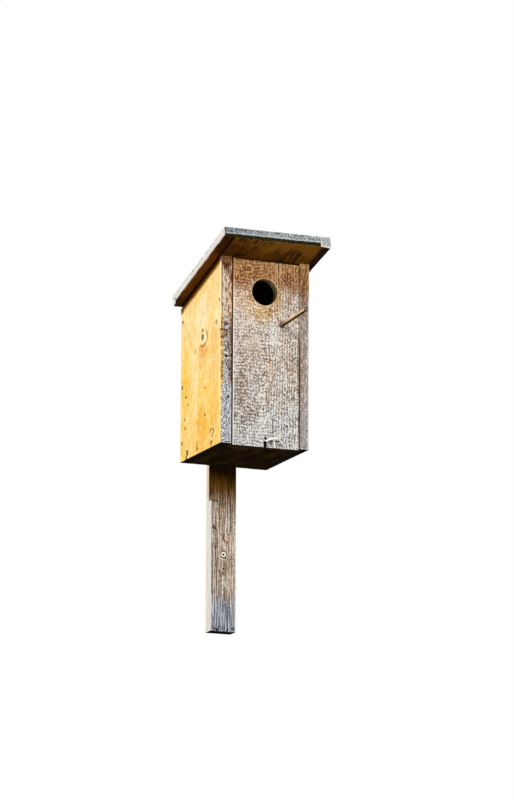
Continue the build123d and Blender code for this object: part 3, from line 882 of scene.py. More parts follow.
def right_wall_wood():
    wood = Wood("side_softwood", across=(0, 1, 0), deep=(1, 0, 0))
    knots = ((-70.0, 216.0, 9.0, 9.0, 8.0), (-150.0, 92.0, 7.0, 8.0, -8.0))
    rings = wood.rings((-120.0, 20.0), 5.6, knots, shift=50)
    saw = wood.sawn(4.2, 52)
    fine = wood.noise(3.0, 40, detail=2, roughness=0.6, shift=54).smooth(0.42, 0.62)
    broad = wood.noise(30, 90, detail=3, shift=56).smooth(0.36, 0.64)
    outer = wood.x - right_low.x / mm
    marks = saw.smooth(0.56, 0.76)
    colour = wood.mix(broad, "#CDA878", "#B08C64")
    grey = (wood.z + (broad - 0.5) * 120).smooth(190, 30)
    colour.lay(grey * 0.7, "#B3A999")
    colour.lay(rings * 0.4, "#8C6238")
    colour.lay(fine * 0.25, "#6E5238")
    colour.lay(marks * 0.35, "#5A4632")
    wood.knot(colour, knots, "#A0703E", "#4E3018")
    nail_marks(wood, colour, "right")
    arris = wood.edge(right_low, right_high) + wood.jitter(2)
    colour.lay(arris.smooth(2.6, 0.8) * 0.4, "#D8CBB8")

    # The front edge, beside the front board: orange on top, then pinkish grey, cool at the foot
    depth = wood.y - front_y / mm
    rise = wood.jitter(40)
    dash = wood.noise(2.4, 10, detail=1, shift=58).smooth(0.45, 0.55)
    grit = wood.noise(2.4, 2.6, detail=1, shift=59).smooth(0.45, 0.55)
    top = (wood.z + rise).smooth(258, 296)
    foot = (wood.z + rise).smooth(120, 60)
    edge = wood.mix(broad, "#CDBBAE", "#B8A79A")
    edge.lay(foot * 0.9, "#B3B1B5")
    middle = wood.blot(70.5, 270, 4.5, 34, 1.4, soft=1.2, over=wood.x)
    edge.lay(top, wood.mix(middle, "#B98E5C", "#8E4A22"))
    edge.lay(middle * (1 - top) * 0.8, "#9A6440")
    brown = (outer + wood.jitter(4)).smooth(9.0, 4.0) * wood.z.smooth(240, 190)
    edge.lay(brown * (1 - foot * 0.45) * 0.55, "#A07C58")
    edge.lay(dash * (0.60 - foot * 0.25), wood.mix(top, "#74645A", "#5A3016"))
    edge.lay(grit * 0.35, wood.mix(top, "#5E5048", "#4A2812"))
    light = grit.smooth(0.3, 0.0) * dash.smooth(0.3, 0.0)
    edge.lay(light * 0.45, wood.mix(top, "#F4EEE6", "#DDB88A"))
    # Painted shade in the joint beside the front board, on its upper part
    painted_seam_shade = (outer + wood.jitter(2.0)).smooth(2.8, 1.4)
    painted_seam_shade = painted_seam_shade * (wood.z + rise).smooth(216, 180)
    edge.lay(painted_seam_shade * 0.9, "#3E2414")
    edge.lay(outer.smooth(16.4, 17.8) * 0.85, wood.mix(top, "#F6F0E8", "#C89A6A"))
    on_edge = (depth + wood.jitter(0.6)).smooth(1.2, 0.5)
    colour.lay(on_edge, edge)
    inside = outer.smooth(1.0, 0.3) * (1 - on_edge)
    colour.lay(inside, wood.mix(fine, "#8A6A3C", "#5E4426"))
    # Painted shade: the underside nearly black
    below = wood.z.smooth(0.9, 0.3)
    colour.lay(below, wood.mix(marks, "#1E1812", "#0E0A08"))
    height = rings * 0.4 + fine * -0.3 + saw * -0.8 + on_edge * (dash * -0.8)
    return wood.finish(colour, height, depth_mm=0.5)


def back_board_wood():
    wood = Wood("plain_softwood")
    knots = ((34.0, 96.0, 7.0, 9.0, 9.0), (-38.0, 226.0, 5.0, 7.0, -7.0))
    rings = wood.rings((10.0, 40.0), 5.2, knots, shift=70)
    saw = wood.sawn(4.0, 72)
    broad = wood.noise(34, 110, detail=3, shift=76).smooth(0.36, 0.64)
    colour = wood.mix(broad, "#C49A5E", "#A9814E")
    colour.lay(rings * 0.45, "#84562C")
    colour.lay(saw.smooth(0.60, 0.80) * 0.3, "#4E3822")
    wood.knot(colour, knots, "#9A6430", "#46290F")
    damp = (wood.z + (broad - 0.5) * 60).smooth(60, 0)
    colour.lay(damp * 0.5, "#5A4632")
    # Painted shade: the bottom end nearly black
    colour.lay(wood.z.smooth(1.0, 0.4), "#1E1610")
    height = rings * 0.4 + saw * -0.7
    return wood.finish(colour, height, depth_mm=0.45)


def floor_wood():
    wood = Wood("dark_softwood", across=(1, 0, 0), deep=(0, 0, 1), along=(0, 1, 0))
    knots = ((-30.0, -150.0, 5.0, 7.0, 7.0), (28.0, -86.0, 4.0, 6.0, -6.0))
    rings = wood.rings((0.0, 60.0), 5.0, knots, shift=90)
    saw = wood.sawn(4.0, 92)
    broad = wood.noise(24, 60, detail=4, shift=96).smooth(0.34, 0.62)
    # Dark, damp wood, painted nearly black as shade for the underside; the top face is browner
    colour = wood.mix(broad, "#30200F", "#1A1108")
    colour.lay(rings * 0.45, "#140C07")
    colour.lay(saw.smooth(0.60, 0.80) * 0.4, "#0C0806")
    colour.lay(wood.blot(-38, -194, 20, 12, 1.8, 1.4) * 0.35, "#5A4638")
    wood.knot(colour, knots, "#241408", "#100804")
    above = wood.z.smooth(12, 18)
    colour.lay(above, wood.mix(saw, "#7A5A36", "#4A3420"))
    height = rings * 0.4 + saw * -0.9
    return wood.finish(colour, height, depth_mm=0.5)


# The roof's own axes, and the places of its faces along them
roof_along = Vector((0, cos(roof_slope), -sin(roof_slope)))
roof_up = Vector((0, sin(roof_slope), cos(roof_slope)))
roof_origin = Vector((roof_low.x, roof_low.y + roof_thickness * sin(roof_slope), roof_high.z))
roof_length = (roof_high.y - roof_low.y - roof_thickness * sin(roof_slope)) / cos(roof_slope)


def roof_nails():
    """Places of the roof's nails, from its left edge and from its front end."""
    places = []
    for name in nails_in("roof"):
        low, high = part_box(name)
        crown = Vector(((low.x + high.x) / 2, high.y, high.z)) - roof_origin
        places.append((crown.x, crown.dot(roof_along)))
    return places


def roof_wood(name, shift, strip=False):
    """Top, underside, long edges and end grain of the roof, each as the weather left it. Places
    run from the left edge, from the top and from the front end."""
    axes = {"across": (1, 0, 0), "deep": -roof_up, "along": roof_along}
    wood = Wood(name, origin=roof_origin / mm, **axes)
    along, depth = wood.along, wood.deep
    split = (strip_low.x - roof_low.x) / mm
    width = (strip_high.x - roof_low.x) / mm
    outer = width - wood.across if strip else wood.across
    knots = () if strip else ((63.0, 190.0, 7.0, 9.0, 9.0), (141.0, 90.0, 6.0, 8.0, -8.0))
    rings = wood.rings((91.0, 62.0), 4.6, knots, shift=shift)
    lines = wood.noise(2.8, 60, detail=2, roughness=0.6, shift=shift + 1).smooth(0.42, 0.60)
    pits = wood.noise(3.0, 5.0, roughness=0.6, shift=shift + 2).smooth(0.52, 0.66)
    broad = wood.noise(30, 90, detail=4, shift=shift + 6).smooth(0.36, 0.64)

    # Top face: silver grey, with lichen and dark grain
    colour = wood.mix(broad, "#A9A7A1", "#85827C")
    colour.lay(rings * 0.5, "#4E4A44")
    colour.lay(lines * 0.6, "#423E38")
    colour.lay(pits * 0.4, "#3A3630")
    moss = wood.noise(13, 20, detail=5, roughness=0.7, shift=shift + 9).smooth(0.58, 0.68)
    colour.lay(moss * 0.6, "#858C68")
    wood.knot(colour, knots, "#7C6A56", "#2E2720")
    if not strip:
        for x, at in roof_nails():
            colour.lay(wood.blot(x / mm, at / mm, 4.4, 4.6, 0.8) * 0.8, "#3A261A")
            colour.lay(wood.blot(x / mm, at / mm + 16, 2.6, 18, 1.4) * 0.45, "#5C3A26")

    # Underside: golden brown and never wet, with pale and dark fibres, red to the left
    under = wood.mix(broad, "#643C07", "#44280A")
    under.lay(rings * 0.3, "#2A1403")
    under.lay(lines * 0.40, "#241203")
    pale = wood.noise(2.1, 60, detail=1, shift=shift + 13).smooth(0.57, 0.64)
    under.lay((along + (broad - 0.5) * 24).smooth(44, 24) * 0.5, "#8C5C1E")
    under.lay(pale * (wood.across.smooth(80, 150) * 0.20 + 0.20), "#98642E")
    strokes = wood.noise(3.0, 26, detail=1, shift=shift + 14).smooth(0.46, 0.54)
    front_part = (along + wood.jitter(26)).smooth(26, 10) * wood.across.smooth(110, 70)
    under.lay(front_part * strokes * 0.75, "#180B03")
    if strip:
        dark = wood.mix(strokes * 0.25, "#120B06", "#4A3220")
        under.lay((wood.across - split).smooth(2, 5) * 0.95, dark)
    else:
        under.lay(wood.blot(36, 30, 24, 18, 1.6, 1.2) * 0.5, "#4E260A")
        under.lay(wood.blot(50, 58, 14, 5, 1.4) * 0.75, "#1C0A04")
        over_left = (outer + wood.jitter(4)).smooth(22, 16)
        tone = wood.mix((along + (broad - 0.5) * 30).smooth(30, 70), "#2E1004", "#5E340A")
        tone.lay((along + (broad - 0.5) * 40).smooth(190, 240), "#40260C")
        under.lay(over_left * 0.85, tone)
        # Painted shade: a dark line where the roof meets the left wall
        painted_seam_shade = (outer + wood.jitter(3)).smooth(11.5, 15)
        under.lay(painted_seam_shade * over_left * 0.9, "#1A0A04")
    colour.lay(depth.smooth(2, 3), under)

    # Front end grain: a grey of pale and dark crumbs, darkest at the left, with painted black shade on
    # its lower bevel
    speck = wood.noise(2.5, 2.4, deep=2.4, detail=1, shift=shift + 17)
    crumb = wood.noise(2.9, 2.6, deep=2.6, detail=1, shift=shift + 18)
    grain = wood.mix(speck.smooth(0.43, 0.57), "#B0B7B9", "#646C72")
    grain.lay(crumb.smooth(0.56, 0.62) * 0.55, "#E4E4DE")
    grain.lay(crumb.smooth(0.42, 0.36) * 0.5, "#2C3236")
    grain.lay((wood.across + wood.jitter(60)).smooth(70, 10) * 0.30, "#4C5656")
    low_part = wood.band(depth + wood.jitter(2), 10.5, 14, 1)
    grain.lay(low_part * 0.35, "#D9DCDA")
    arris = wood.mix(crumb.smooth(0.4, 0.6), "#3A3620", "#18160C")
    if strip:
        grain.lay(0.25, "#D2D3CE")
        grain.lay((wood.across - split).smooth(2.6, 1.2) * 0.7, "#F2F2EE")
        grain.lay((depth + wood.jitter(2)).smooth(17.0, 18.6) * 0.7, "#F0EDE6")
    else:
        painted_shade_on_bevel = (along + roof_thickness / mm - depth).smooth(8.2, 7.0)
        grain.lay(painted_shade_on_bevel, arris)
        grain.lay(outer.smooth(2.4, 1.2) * 0.7, "#1A2024")
    in_front = along.smooth(3.4, 2.6) * depth.smooth(0.5, 1.2)
    colour.lay(in_front, grain)
    rear_end = (roof_length / mm - along).smooth(2.0, 1.2) * depth.smooth(0.5, 1.2)
    colour.lay(rear_end, wood.mix(speck.smooth(0.4, 0.6), "#A39A8B", "#4A433A"))

    # Long outer edge: bleached, with grey-green flecks above and a thin reddish lower rim
    fleck = wood.noise(3, 9.0, deep=3.2, detail=2, roughness=0.7, shift=shift + 23)
    bleach = wood.mix(lines * 0.25, "#E9E4DD", "#B4AEA4")
    bleach.lay(fleck.smooth(0.54, 0.62) * depth.smooth(12, 4) * 0.75, "#75806F")
    bleach.lay(fleck.smooth(0.40, 0.34) * depth.smooth(9, 3) * 0.5, "#6A7488")
    bleach.lay(pits * 0.25, "#6A6258")
    if strip:
        bleach.lay(0.55, "#7C7870")
    else:
        tab_at = roof_length / mm - RoofBoard.tab / mm
        rim = depth.smooth(12.2, 13.2) * along.smooth(tab_at, tab_at - 2)
        bleach.lay(rim * 0.6, "#B08A7C")
        crack = wood.stroke(((tab_at - 5, 12.5), (tab_at + 3, 10.5)), 0.8, over=along, up=depth)
        bleach.lay(crack, "#2A1C16")
    on_side = outer.smooth(1.5, 0.8) * depth.smooth(0.2, 0.9) * (1 - in_front)
    colour.lay(on_side, bleach)

    height = rings * 0.4 + lines * -0.5 + pits * -0.7 + in_front * (speck * -1.6)
    return wood.finish(colour, height, depth_mm=0.6)


def batten_wood():
    wood = Wood("batten_softwood")
    knots = (
        (-18.5, -110.6, 3.0, 3.4, 4.0),
        (4.6, -127.5, 4.5, 3.2, -5.0),
        (0.5, -185.0, 2.2, 4.0, 3.0),
    )
    rings = wood.rings((-2.0, -62.0), 3.6, knots, waver=9.0, shift=120)
    grain = wood.wave(wood.x / 4.1 + wood.noise(16, 90, shift=124) * 3.0) * 0.22
    lines = (wood.noise(1.9, 60, detail=1, shift=121) + grain).smooth(0.48, 0.70)
    pale = (wood.noise(1.9, 40, detail=1, shift=123) - grain).smooth(0.36, 0.54)
    crumbs = wood.noise(1.8, 3.2, detail=1, shift=122).smooth(0.45, 0.55)
    broad = wood.noise(12, 50, detail=3, shift=126).smooth(0.36, 0.64)
    warm = wood.noise(8, 18, detail=4, roughness=0.65, shift=128).smooth(0.42, 0.62)
    left = batten_low.x / mm

    # Front face: honey-brown under the box, grey-brown lower down, blue-grey at the foot
    colour = wood.mix(broad, "#EADAC8", "#D6C3AF")
    middle = wood.math("ABSOLUTE", wood.x + 2).smooth(18, 8)
    colour.lay(warm * middle * 0.5, "#C49464")
    beside = (wood.x - left + wood.jitter(5)).smooth(8.5, 5)
    colour.lay(beside * wood.z.smooth(-62, -70) * 0.75, "#B9B6C4")
    foot = (wood.z + (broad - 0.5) * 20 + wood.jitter(30)).smooth(-212, -266)
    colour.lay(foot * 0.95, wood.mix(broad, "#9A9EA6", "#7E838B"))
    wood.stain(colour, (
        (-3, -90, 4, 22, "#B4783C", 0.60),
        (8, -232, 7, 14, "#8A6440", 0.70),
        (-3, -187, 7, 12, "#A87848", 0.50),
        (3, -150, 8, 14, "#C0A070", 0.45),
        (-12, -226, 6, 22, "#7E746C", 0.50),
        (-14, -190, 4, 50, "#A89878", 0.40),
        (15, -150, 5, 90, "#CFC0B4", 0.45),
    ), ragged=2.2)
    colour.lay(rings * 0.20, "#7A5C40")
    dark = wood.mix(foot, "#5E4430", "#464C58")
    colour.lay(lines * 0.54, dark)
    colour.lay(crumbs * 0.72, dark)
    colour.lay(pale * 0.70, wood.mix(foot, "#F8EADA", "#DCE2EC"))

    # Under the box: honey-brown, the dry wood's tone with painted shade of the box over it, and painted
    # shade nearly black right under the box
    shelter = (wood.z + (lines - 0.5) * 10 + wood.jitter(16)).smooth(-100, -34)
    honey = wood.mix(warm, "#8A5C1E", "#5A360E")
    honey.lay(lines * 0.6, "#2A1604")
    honey.lay(pale * 0.25, "#B08438")
    shade = (wood.z + wood.x * 0.2).smooth(-44, -8) * wood.z.smooth(60, 10)
    honey.lay(shade * 0.9, "#140A02")
    over_roof = (wood.z + wood.jitter(10)).smooth(284, 292)
    colour.lay(shelter * (1 - over_roof), honey)

    # Knots, the marks by them, the dirt round the screw with a painted shadow under its head, and the
    # nicks at the foot
    wood.knot(colour, knots[:1], "#5A4A3C", "#2A1E18")
    wood.draw(colour, (
        (1.2, 0.80, "#1E1612", (-17, -112), (-14, -115.5)),
        (0.9, 0.35, "#5A4432", (-14, -115), (-9, -120), (-3, -125)),
    ))
    colour.lay(wood.blot(4.4, -129.4, 3.4, 4.2, 0.8) * 0.60, "#E2B896")
    wood.draw(colour, (
        (1.5, 0.85, "#5E2E14", (0.4, -124.5), (-0.6, -130), (2.4, -135), (7.4, -136)),
        (0.9, 0.60, "#6A4A34", (1.5, -140), (4.5, -138), (6, -141), (3.5, -143)),
    ))
    for x, z in ((-7.5, -189.2), (-1.7, -192.6), (0.1, -185)):
        colour.lay(wood.blot(x, z, 2.0, 2.8, 0.8) * 0.85, "#4E3424")
    wood.draw(colour, (
        (1.4, 0.50, "#6E4A2C", (-8, -190), (-6, -198)),
        (1.1, 0.75, "#3A2616", (9, -36), (10, -46), (12.5, -60), (14, -84), (14.4, -116)),
        (1.1, 0.75, "#3E2C1C", (2.2, -218), (2.2, -242)),
        # painted shadow: the lower edge of the box's shadow
        (1.2, 0.80, "#2E2018", (-22, -62), (-12, -63)),
        (0.9, 0.60, "#2E2826", (-22.4, -64), (-22.6, -230)),
        (0.9, 0.60, "#4A3E30", (-16, -92), (-15, -150), (-13, -214)),
    ))
    screw_x, _, screw_z = middle_of("lower_wall_screw") / mm
    wood.draw(colour, (
        (1.3, 0.70, "#F4EADC", (-8, -1), (-5, -6), (2, -9)),
        (1.1, 0.60, "#4A3624", (-4, 10), (-1, 6), (3, 6)),
        # painted shadow below the screw's head
        (1.6, 0.85, "#2E2018", (-4, -4.1), (0, -6.1), (4, -4.1)),
    ), start=(screw_x, screw_z))
    ring = wood.spread(screw_x, screw_z, 5.4, 5.4)
    colour.lay(wood.band(ring, 0.7, 1.3, 0.3) * 0.5, "#5B4A38")
    for x, z in ((-10.7, -294.6), (8.4, -293.4)):
        colour.lay(wood.blot(x, z, 1.8, 2.4, 0.6), "#121218")
    nicks = wood.noise(3.5, 5, detail=2, shift=131).smooth(0.52, 0.60)
    colour.lay(nicks * wood.z.smooth(-284, -293) * 0.9, "#16181E")
    right_side = (batten_high.x / mm - wood.x + wood.jitter(1.6)).smooth(2.4, 1.2)
    colour.lay(right_side * wood.z.smooth(-60, -110) * 0.6, "#E2D8CC")

    # Narrow left face: cream, a little warmer towards the top as slight painted shade of the box, and
    # the box's shadow painted on its front part above z -62
    side = (wood.x - left).smooth(1.0, 0.5)
    painted_box_shadow = (wood.y + wood.jitter(3)).smooth(-11.5, -13.5) * wood.z.smooth(-64, -61)
    side = side * (1 - painted_box_shadow * (1 - over_roof))
    cream = wood.mix(lines * 0.20, "#E8E2D8", "#CFC4B4")
    cream.lay(wood.z.smooth(-70, -40) * 0.5, "#E2C49C")
    colour.lay(side, cream)
    rear = wood.y.smooth(-1.0, -0.4)
    colour.lay(rear, wood.mix(rings, "#A98658", "#7C5C38"))
    foot_end = (wood.z - batten_low.z / mm).smooth(1.0, 0.4)
    head_end = (batten_high.z / mm - wood.z).smooth(1.0, 0.4)
    colour.lay(foot_end, wood.mix(wood.ragged, "#1E1814", "#0A0706"))
    colour.lay(head_end, wood.mix(crumbs, "#A89A84", "#665846"))
    height = rings * 0.4 + lines * -0.6 + crumbs * -0.8 + pale * 0.4
    return wood.finish(colour, height, depth_mm=0.4)


perch_axis = Vector((0, -cos(perch_tilt), sin(perch_tilt)))
perch_middle = (perch_low + perch_high) / 2
perch_up = perch_axis.cross(x_axis)
perch_length = (perch_high.y - perch_low.y - 2 * perch_radius * sin(perch_tilt)) / cos(perch_tilt)


def perch_wood():
    """Places run from the dowel's axis, and along it from its outer end."""
    tip = perch_middle + perch_axis * (perch_length / 2)
    axes = {"across": (1, 0, 0), "deep": perch_up, "along": -perch_axis}
    wood = Wood("dowel", origin=tip / mm, **axes)
    lines = wood.noise(2.4, 22, detail=2, roughness=0.6, shift=142).smooth(0.40, 0.60)
    blotch = wood.noise(5, 16, detail=3, shift=144).smooth(0.42, 0.64)
    colour = wood.mix(lines, "#F0DCAE", "#C4A070")
    colour.lay(blotch * 0.4, "#B09070")
    root = wood.along.smooth(64, 104)
    colour.lay(root * 0.9, "#7C5440")
    # Painted shade: the lower side darker, turned from the light
    below = (wood.deep - wood.across * 0.57 + wood.jitter(0.8)).smooth(-0.4, -1.2)
    colour.lay(below * 0.95, wood.mix(lines, "#503218", "#2A1809"))
    away = wood.math("SQRT", wood.across * wood.across + wood.deep * wood.deep)
    away = away + wood.jitter(1.2)
    face = wood.mix(away.smooth(1.2, 2.8), "#A08A70", "#3E2C18")
    colour.lay(wood.along.smooth(1.0, 0.5), face)
    return wood.finish(colour, lines * -0.5, depth_mm=0.25)


def splinter_wood():
    wood = Wood("weathered_softwood_torn")
    lines = wood.noise(5, 0.9, deep=1, detail=3, shift=150).smooth(0.36, 0.66)
    colour = wood.mix(lines * 0.4, "#FFFBF2", "#DCCAB2")
    return wood.finish(colour, lines * -0.4, depth_mm=0.2)


def metal(name, base, rust, share, roughness, metallic, heads=(), dirt=None):
    """Steel with blotches of rust, and dirt in the middle of the heads that are named."""
    steel = Wood(name, roughness=roughness, gloss=0.4)
    blotch = steel.noise(1.4, 1.4, detail=4, roughness=0.7, shift=160)
    grit = steel.noise(0.4, 0.4, detail=3, roughness=0.7, shift=162)
    colour = steel.mix(blotch.smooth(0.5 - share, 0.66 - share), base, rust)
    colour.lay(grit.smooth(0.5, 0.7) * 0.4, "#1C1410")
    for head in heads:
        centre = middle_of(head) / mm
        away = steel.spread(centre.x, centre.z, 2.2, 2.2) + steel.jitter(0.6)
        colour.lay(away.smooth(1.5, 0.8), dirt)
    steel.surface.inputs["Metallic"].default_value = metallic
    return steel.finish(colour, blotch + grit * 0.5, depth_mm=0.15)


# Boards

def roof_underside(y):
    return foot_z + front_wall_height - (y - front_y) * tan(roof_slope)


def side_nails(side):
    """Places of one wall's nails, from its front edge and its foot."""
    middles = [middle_of(name) for name in nails_in(side)]
    return [(middle.y - front_y, middle.z - foot_z) for middle in middles]


class SideWall(Board):
    """Its head is cut on a slope, to carry the roof."""

    def length_share(self, a, b):
        return 1 - a * tan(roof_slope) / front_wall_height


class LeftWall(SideWall):
    """Its front outer arris is wany above the lower third, with bark and hollows."""
    wane_reach = 4.6 * mm
    wane_foot, wane_head = 105 * mm, 262 * mm
    bark_foot, bark_head = 100 * mm, 226 * mm
    branch_up, branch_in, branch_half = 214 * mm, 9 * mm, 4 * mm

    def wane(self, c):
        """How far the wane reaches into both faces, at a height above the foot."""
        lump = self.wane_reach + 2.2 * mm * wobble((0, 0, c), 17 * mm, 11)
        lump += 1.2 * mm * wobble((0, 0, c), 5 * mm, 12)
        low = min(1.0, max(0.0, (c - self.wane_foot) / (2.5 * mm)))
        high = min(1.0, max(0.0, (self.wane_head - c) / (60 * mm)))
        return max(0.0, lump * low * high)

    def trimmed(self, spot):
        a, b, c = spot
        cut = (self.wane(c) - a - b) / 2
        if cut <= 0:
            return spot
        pit = 0.4 * mm * (0.5 + 0.5 * wobble(spot, (2.5 * mm, 2.5 * mm, 4 * mm), 14))
        return Vector((a + cut + pit, b + cut + pit, c))

    def extra_relief(self, a, b, c):
        if a > 1 * mm:
            return 0.0
        up, deep = (c - self.branch_up) / self.branch_half, (b - self.branch_in) / self.branch_half
        knot = exp(-up ** 2 - deep ** 2)
        barked = 1.0 if self.bark_foot < c < self.bark_head else 0.45
        pit = 0.5 + 0.5 * wobble((a, b, c), (3.5 * mm, 3.5 * mm, 5 * mm), 13)
        return 0.6 * mm * knot + 0.7 * mm * pit * barked


def make_side_walls():
    size = (left_high.y - left_low.y, left_high.x - left_low.x, front_wall_height)
    dense = [place * mm for place in (3.4, 4.6, 6.0, 7.4)]
    left = LeftWall(
        "left_wall", Vector((left_low.x, front_y, foot_z)), (y_axis, x_axis, z_axis), size,
        seed=2, rough=0.22 * mm, marks=(dense, dense, ()),
    )
    right = SideWall(
        "right_wall", Vector((right_high.x, front_y, foot_z)), (y_axis, -x_axis, z_axis),
        (size[0], right_high.x - right_low.x, size[2]), seed=6,
    )
    for side, wall in (("left", left), ("right", right)):
        for place in side_nails(side):
            wall.hole(place, **nail_pit)
    left.build(left_wall_wood(), "fresh_softwood")
    right.build(right_wall_wood(), "side_softwood")


class FrontBoard(Board):
    """Its foot is damaged: a slot, and beside it a shallow flaked patch. Two cracks follow the
    grain, one from the top and one from the foot."""
    slot = (-2.2 * mm, 1.2 * mm)
    slot_top = 9.0 * mm
    slot_depth = 9.0 * mm
    flake_right = 27.5 * mm
    flake_depth = 2.6 * mm
    cracks = ((23.2 * mm, 312 * mm, 400 * mm, 3.0 * mm), (13.0 * mm, 17 * mm, 50 * mm, 1.6 * mm))
    crack_half = 0.32 * mm

    def length_share(self, a, b):
        full = self.size[2]
        return (full - front_board_fall * a / self.size[0] - b * tan(roof_slope)) / full

    def carved(self, a, c):
        x = a + front_low.x
        z = c + front_low.z
        left, right = self.slot
        if left < x < right and z < self.slot_top + 1.5 * mm * wobble((x, 0, 0), 1.5 * mm, 21):
            return self.slot_depth
        if right <= x < self.flake_right:
            share = (x - right) / (self.flake_right - right)
            top = (10.0 + 6.5 * share) * mm + 1.2 * mm * wobble((x, 0, 0), 4 * mm, 22)
            if z < top:
                torn = 0.8 + 0.5 * wobble((x, 0, z), (2.5 * mm, 1, 9 * mm), 23)
                return self.flake_depth * (1 - share) ** 0.7 * torn
        for at, low, high, depth in self.cracks:
            if abs(x - at) < self.crack_half and low < z < high:
                return depth * (0.6 + 0.4 * wobble((0, 0, z), 8 * mm, 24))
        return 0.0


def make_front_board():
    left, right = FrontBoard.slot
    across = [left, left + 0.2 * mm, right - 0.2 * mm, right]
    for at, _, _, _ in FrontBoard.cracks:
        across += [at - 0.6 * mm, at - 0.3 * mm, at + 0.3 * mm, at + 0.6 * mm]
    fine = 1.2 * mm
    across += [right + k * fine for k in range(1, 24) if k not in (10, 19)]
    up = [k * fine for k in range(3, 18)]
    size = front_high - front_low
    board = FrontBoard(
        "front_board", Vector((front_low.x, front_y, front_low.z)), (x_axis, y_axis, z_axis),
        (size.x, front_high.y - front_y, size.z), seed=3, rough=0.55 * mm, step=2.1 * mm,
        marks=([x - front_low.x for x in across], (), up),
    )
    entrance = (entrance_x - front_low.x, entrance_z - front_low.z)
    board.hole(entrance, entrance_radius, entrance_reach, ease=0.7 * mm, ragged=0.35 * mm)
    board.build(front_board_wood(), "weathered_softwood")


class BackBoard(Board):
    """Its head follows the roof's underside through its thickness."""

    def length_share(self, a, b):
        return (roof_underside(back_high.y - b) - back_low.z) / self.size[2]


def make_back_board():
    board = BackBoard(
        "back_board", Vector((back_low.x, back_high.y, back_low.z)), (x_axis, -y_axis, z_axis),
        back_high - back_low, seed=4, step=3 * mm,
    )
    board.build(back_board_wood(), "plain_softwood")


def make_floor_board():
    size = floor_high - floor_low
    board = Board(
        "floor_board", floor_low, (x_axis, z_axis, y_axis), (size.x, size.z, size.y),
        seed=5, rough=0.5 * mm, step=3 * mm,
    )
    board.build(floor_wood(), "dark_softwood")


def make_batten():
    board = Board(
        "mounting_batten", batten_low, (x_axis, y_axis, z_axis), batten_high - batten_low,
        seed=7, rough=0.3 * mm, arris=1.0 * mm,
    )
    for name in ("lower_wall_screw", "upper_wall_screw"):
        middle = middle_of(name)
        board.hole((middle.x - batten_low.x, middle.z - batten_low.z), **screw_pit)
    board.build(batten_wood(), "batten_softwood")


class RoofBoard(Board):
    """Weathered most at its ends. Its lower front arris is cut away, and so is the lower left
    one up to a short tab at the rear."""
    tab = 12.4 * mm
    left_bevel = 6.6 * mm
    front_bevel = 4.2 * mm

    def trimmed(self, spot):
        a, b, c = spot
        uneven = 1 + 0.35 * wobble((a, 0, c), 21 * mm, 33) + 0.15 * wobble((a, 0, c), 5 * mm, 34)
        left = self.left_bevel * uneven if self.size[2] - c > self.tab else 0.0
        cut = max(0.0, (left - a - (self.size[1] - b)) / 2)
        a, b = a + cut, b - cut
        cut = max(0.0, (self.front_bevel * uneven - c - (self.size[1] - b)) / 2)
        return Vector((a, b - cut, c + cut))

    def extra_relief(self, a, b, c):
        near = max(0.0, 1 - c / (3 * mm)) + max(0.0, 1 - (self.size[2] - c) / (3 * mm))
        pit = 0.5 + 0.5 * wobble((a, b, c), 3.0 * mm, 31)
        tear = max(0.0, wobble((a, b, c), (9 * mm, 4 * mm, 9 * mm), 32))
        return near * (0.6 * mm * pit + 0.8 * mm * tear)


class RoofStrip(RoofBoard):
    """Its outer part, beyond the right wall, hangs a little lower, and its lower outer arris is
    worn away more and more behind the front end."""
    left_bevel = 0.0
    front_bevel = 0.0
    outer_bevel = 5.0 * mm
    outer_bevel_run = 90 * mm

    def trimmed(self, spot):
        a, b, c = spot
        bevel = self.outer_bevel * min(1.0, c / self.outer_bevel_run)
        cut = max(0.0, (bevel - (self.size[0] - a) - (self.size[1] - b)) / 2)
        return Vector((a - cut, b - cut, c))

    def depth_share(self, a, c):
        outside = max(0.0, a + strip_low.x - right_high.x)
        full = strip_high.x - right_high.x
        return 1 + roof_strip_droop * outside / full / roof_thickness


def make_roof():
    axes = (x_axis, -roof_up, roof_along)
    bevel_across = [4 * mm, 6 * mm, 8 * mm]
    bevel_deep = [12 * mm, 13.4 * mm, 14.8 * mm, 16.2 * mm]
    tab_at = roof_length - RoofBoard.tab
    bevel_along = [3.6 * mm, 4.8 * mm, 6 * mm, tab_at - 0.3 * mm, tab_at + 0.3 * mm]
    board = RoofBoard(
        "roof_board", roof_origin, axes, (roof_high.x - roof_low.x, roof_thickness, roof_length),
        seed=8, rough=0.6 * mm, marks=(bevel_across, bevel_deep, bevel_along),
    )
    for place in roof_nails():
        board.hole(place, **nail_pit)
    board.build(roof_wood("roof_softwood", 180), "roof_softwood")
    strip = RoofStrip(
        "roof_edge_strip", Vector((strip_low.x, roof_origin.y, roof_origin.z)), axes,
        (strip_high.x - strip_low.x, roof_thickness, roof_length), seed=9, rough=0.6 * mm,
    )
    strip.build(roof_wood("roof_softwood_strip", 200, strip=True), "roof_softwood")


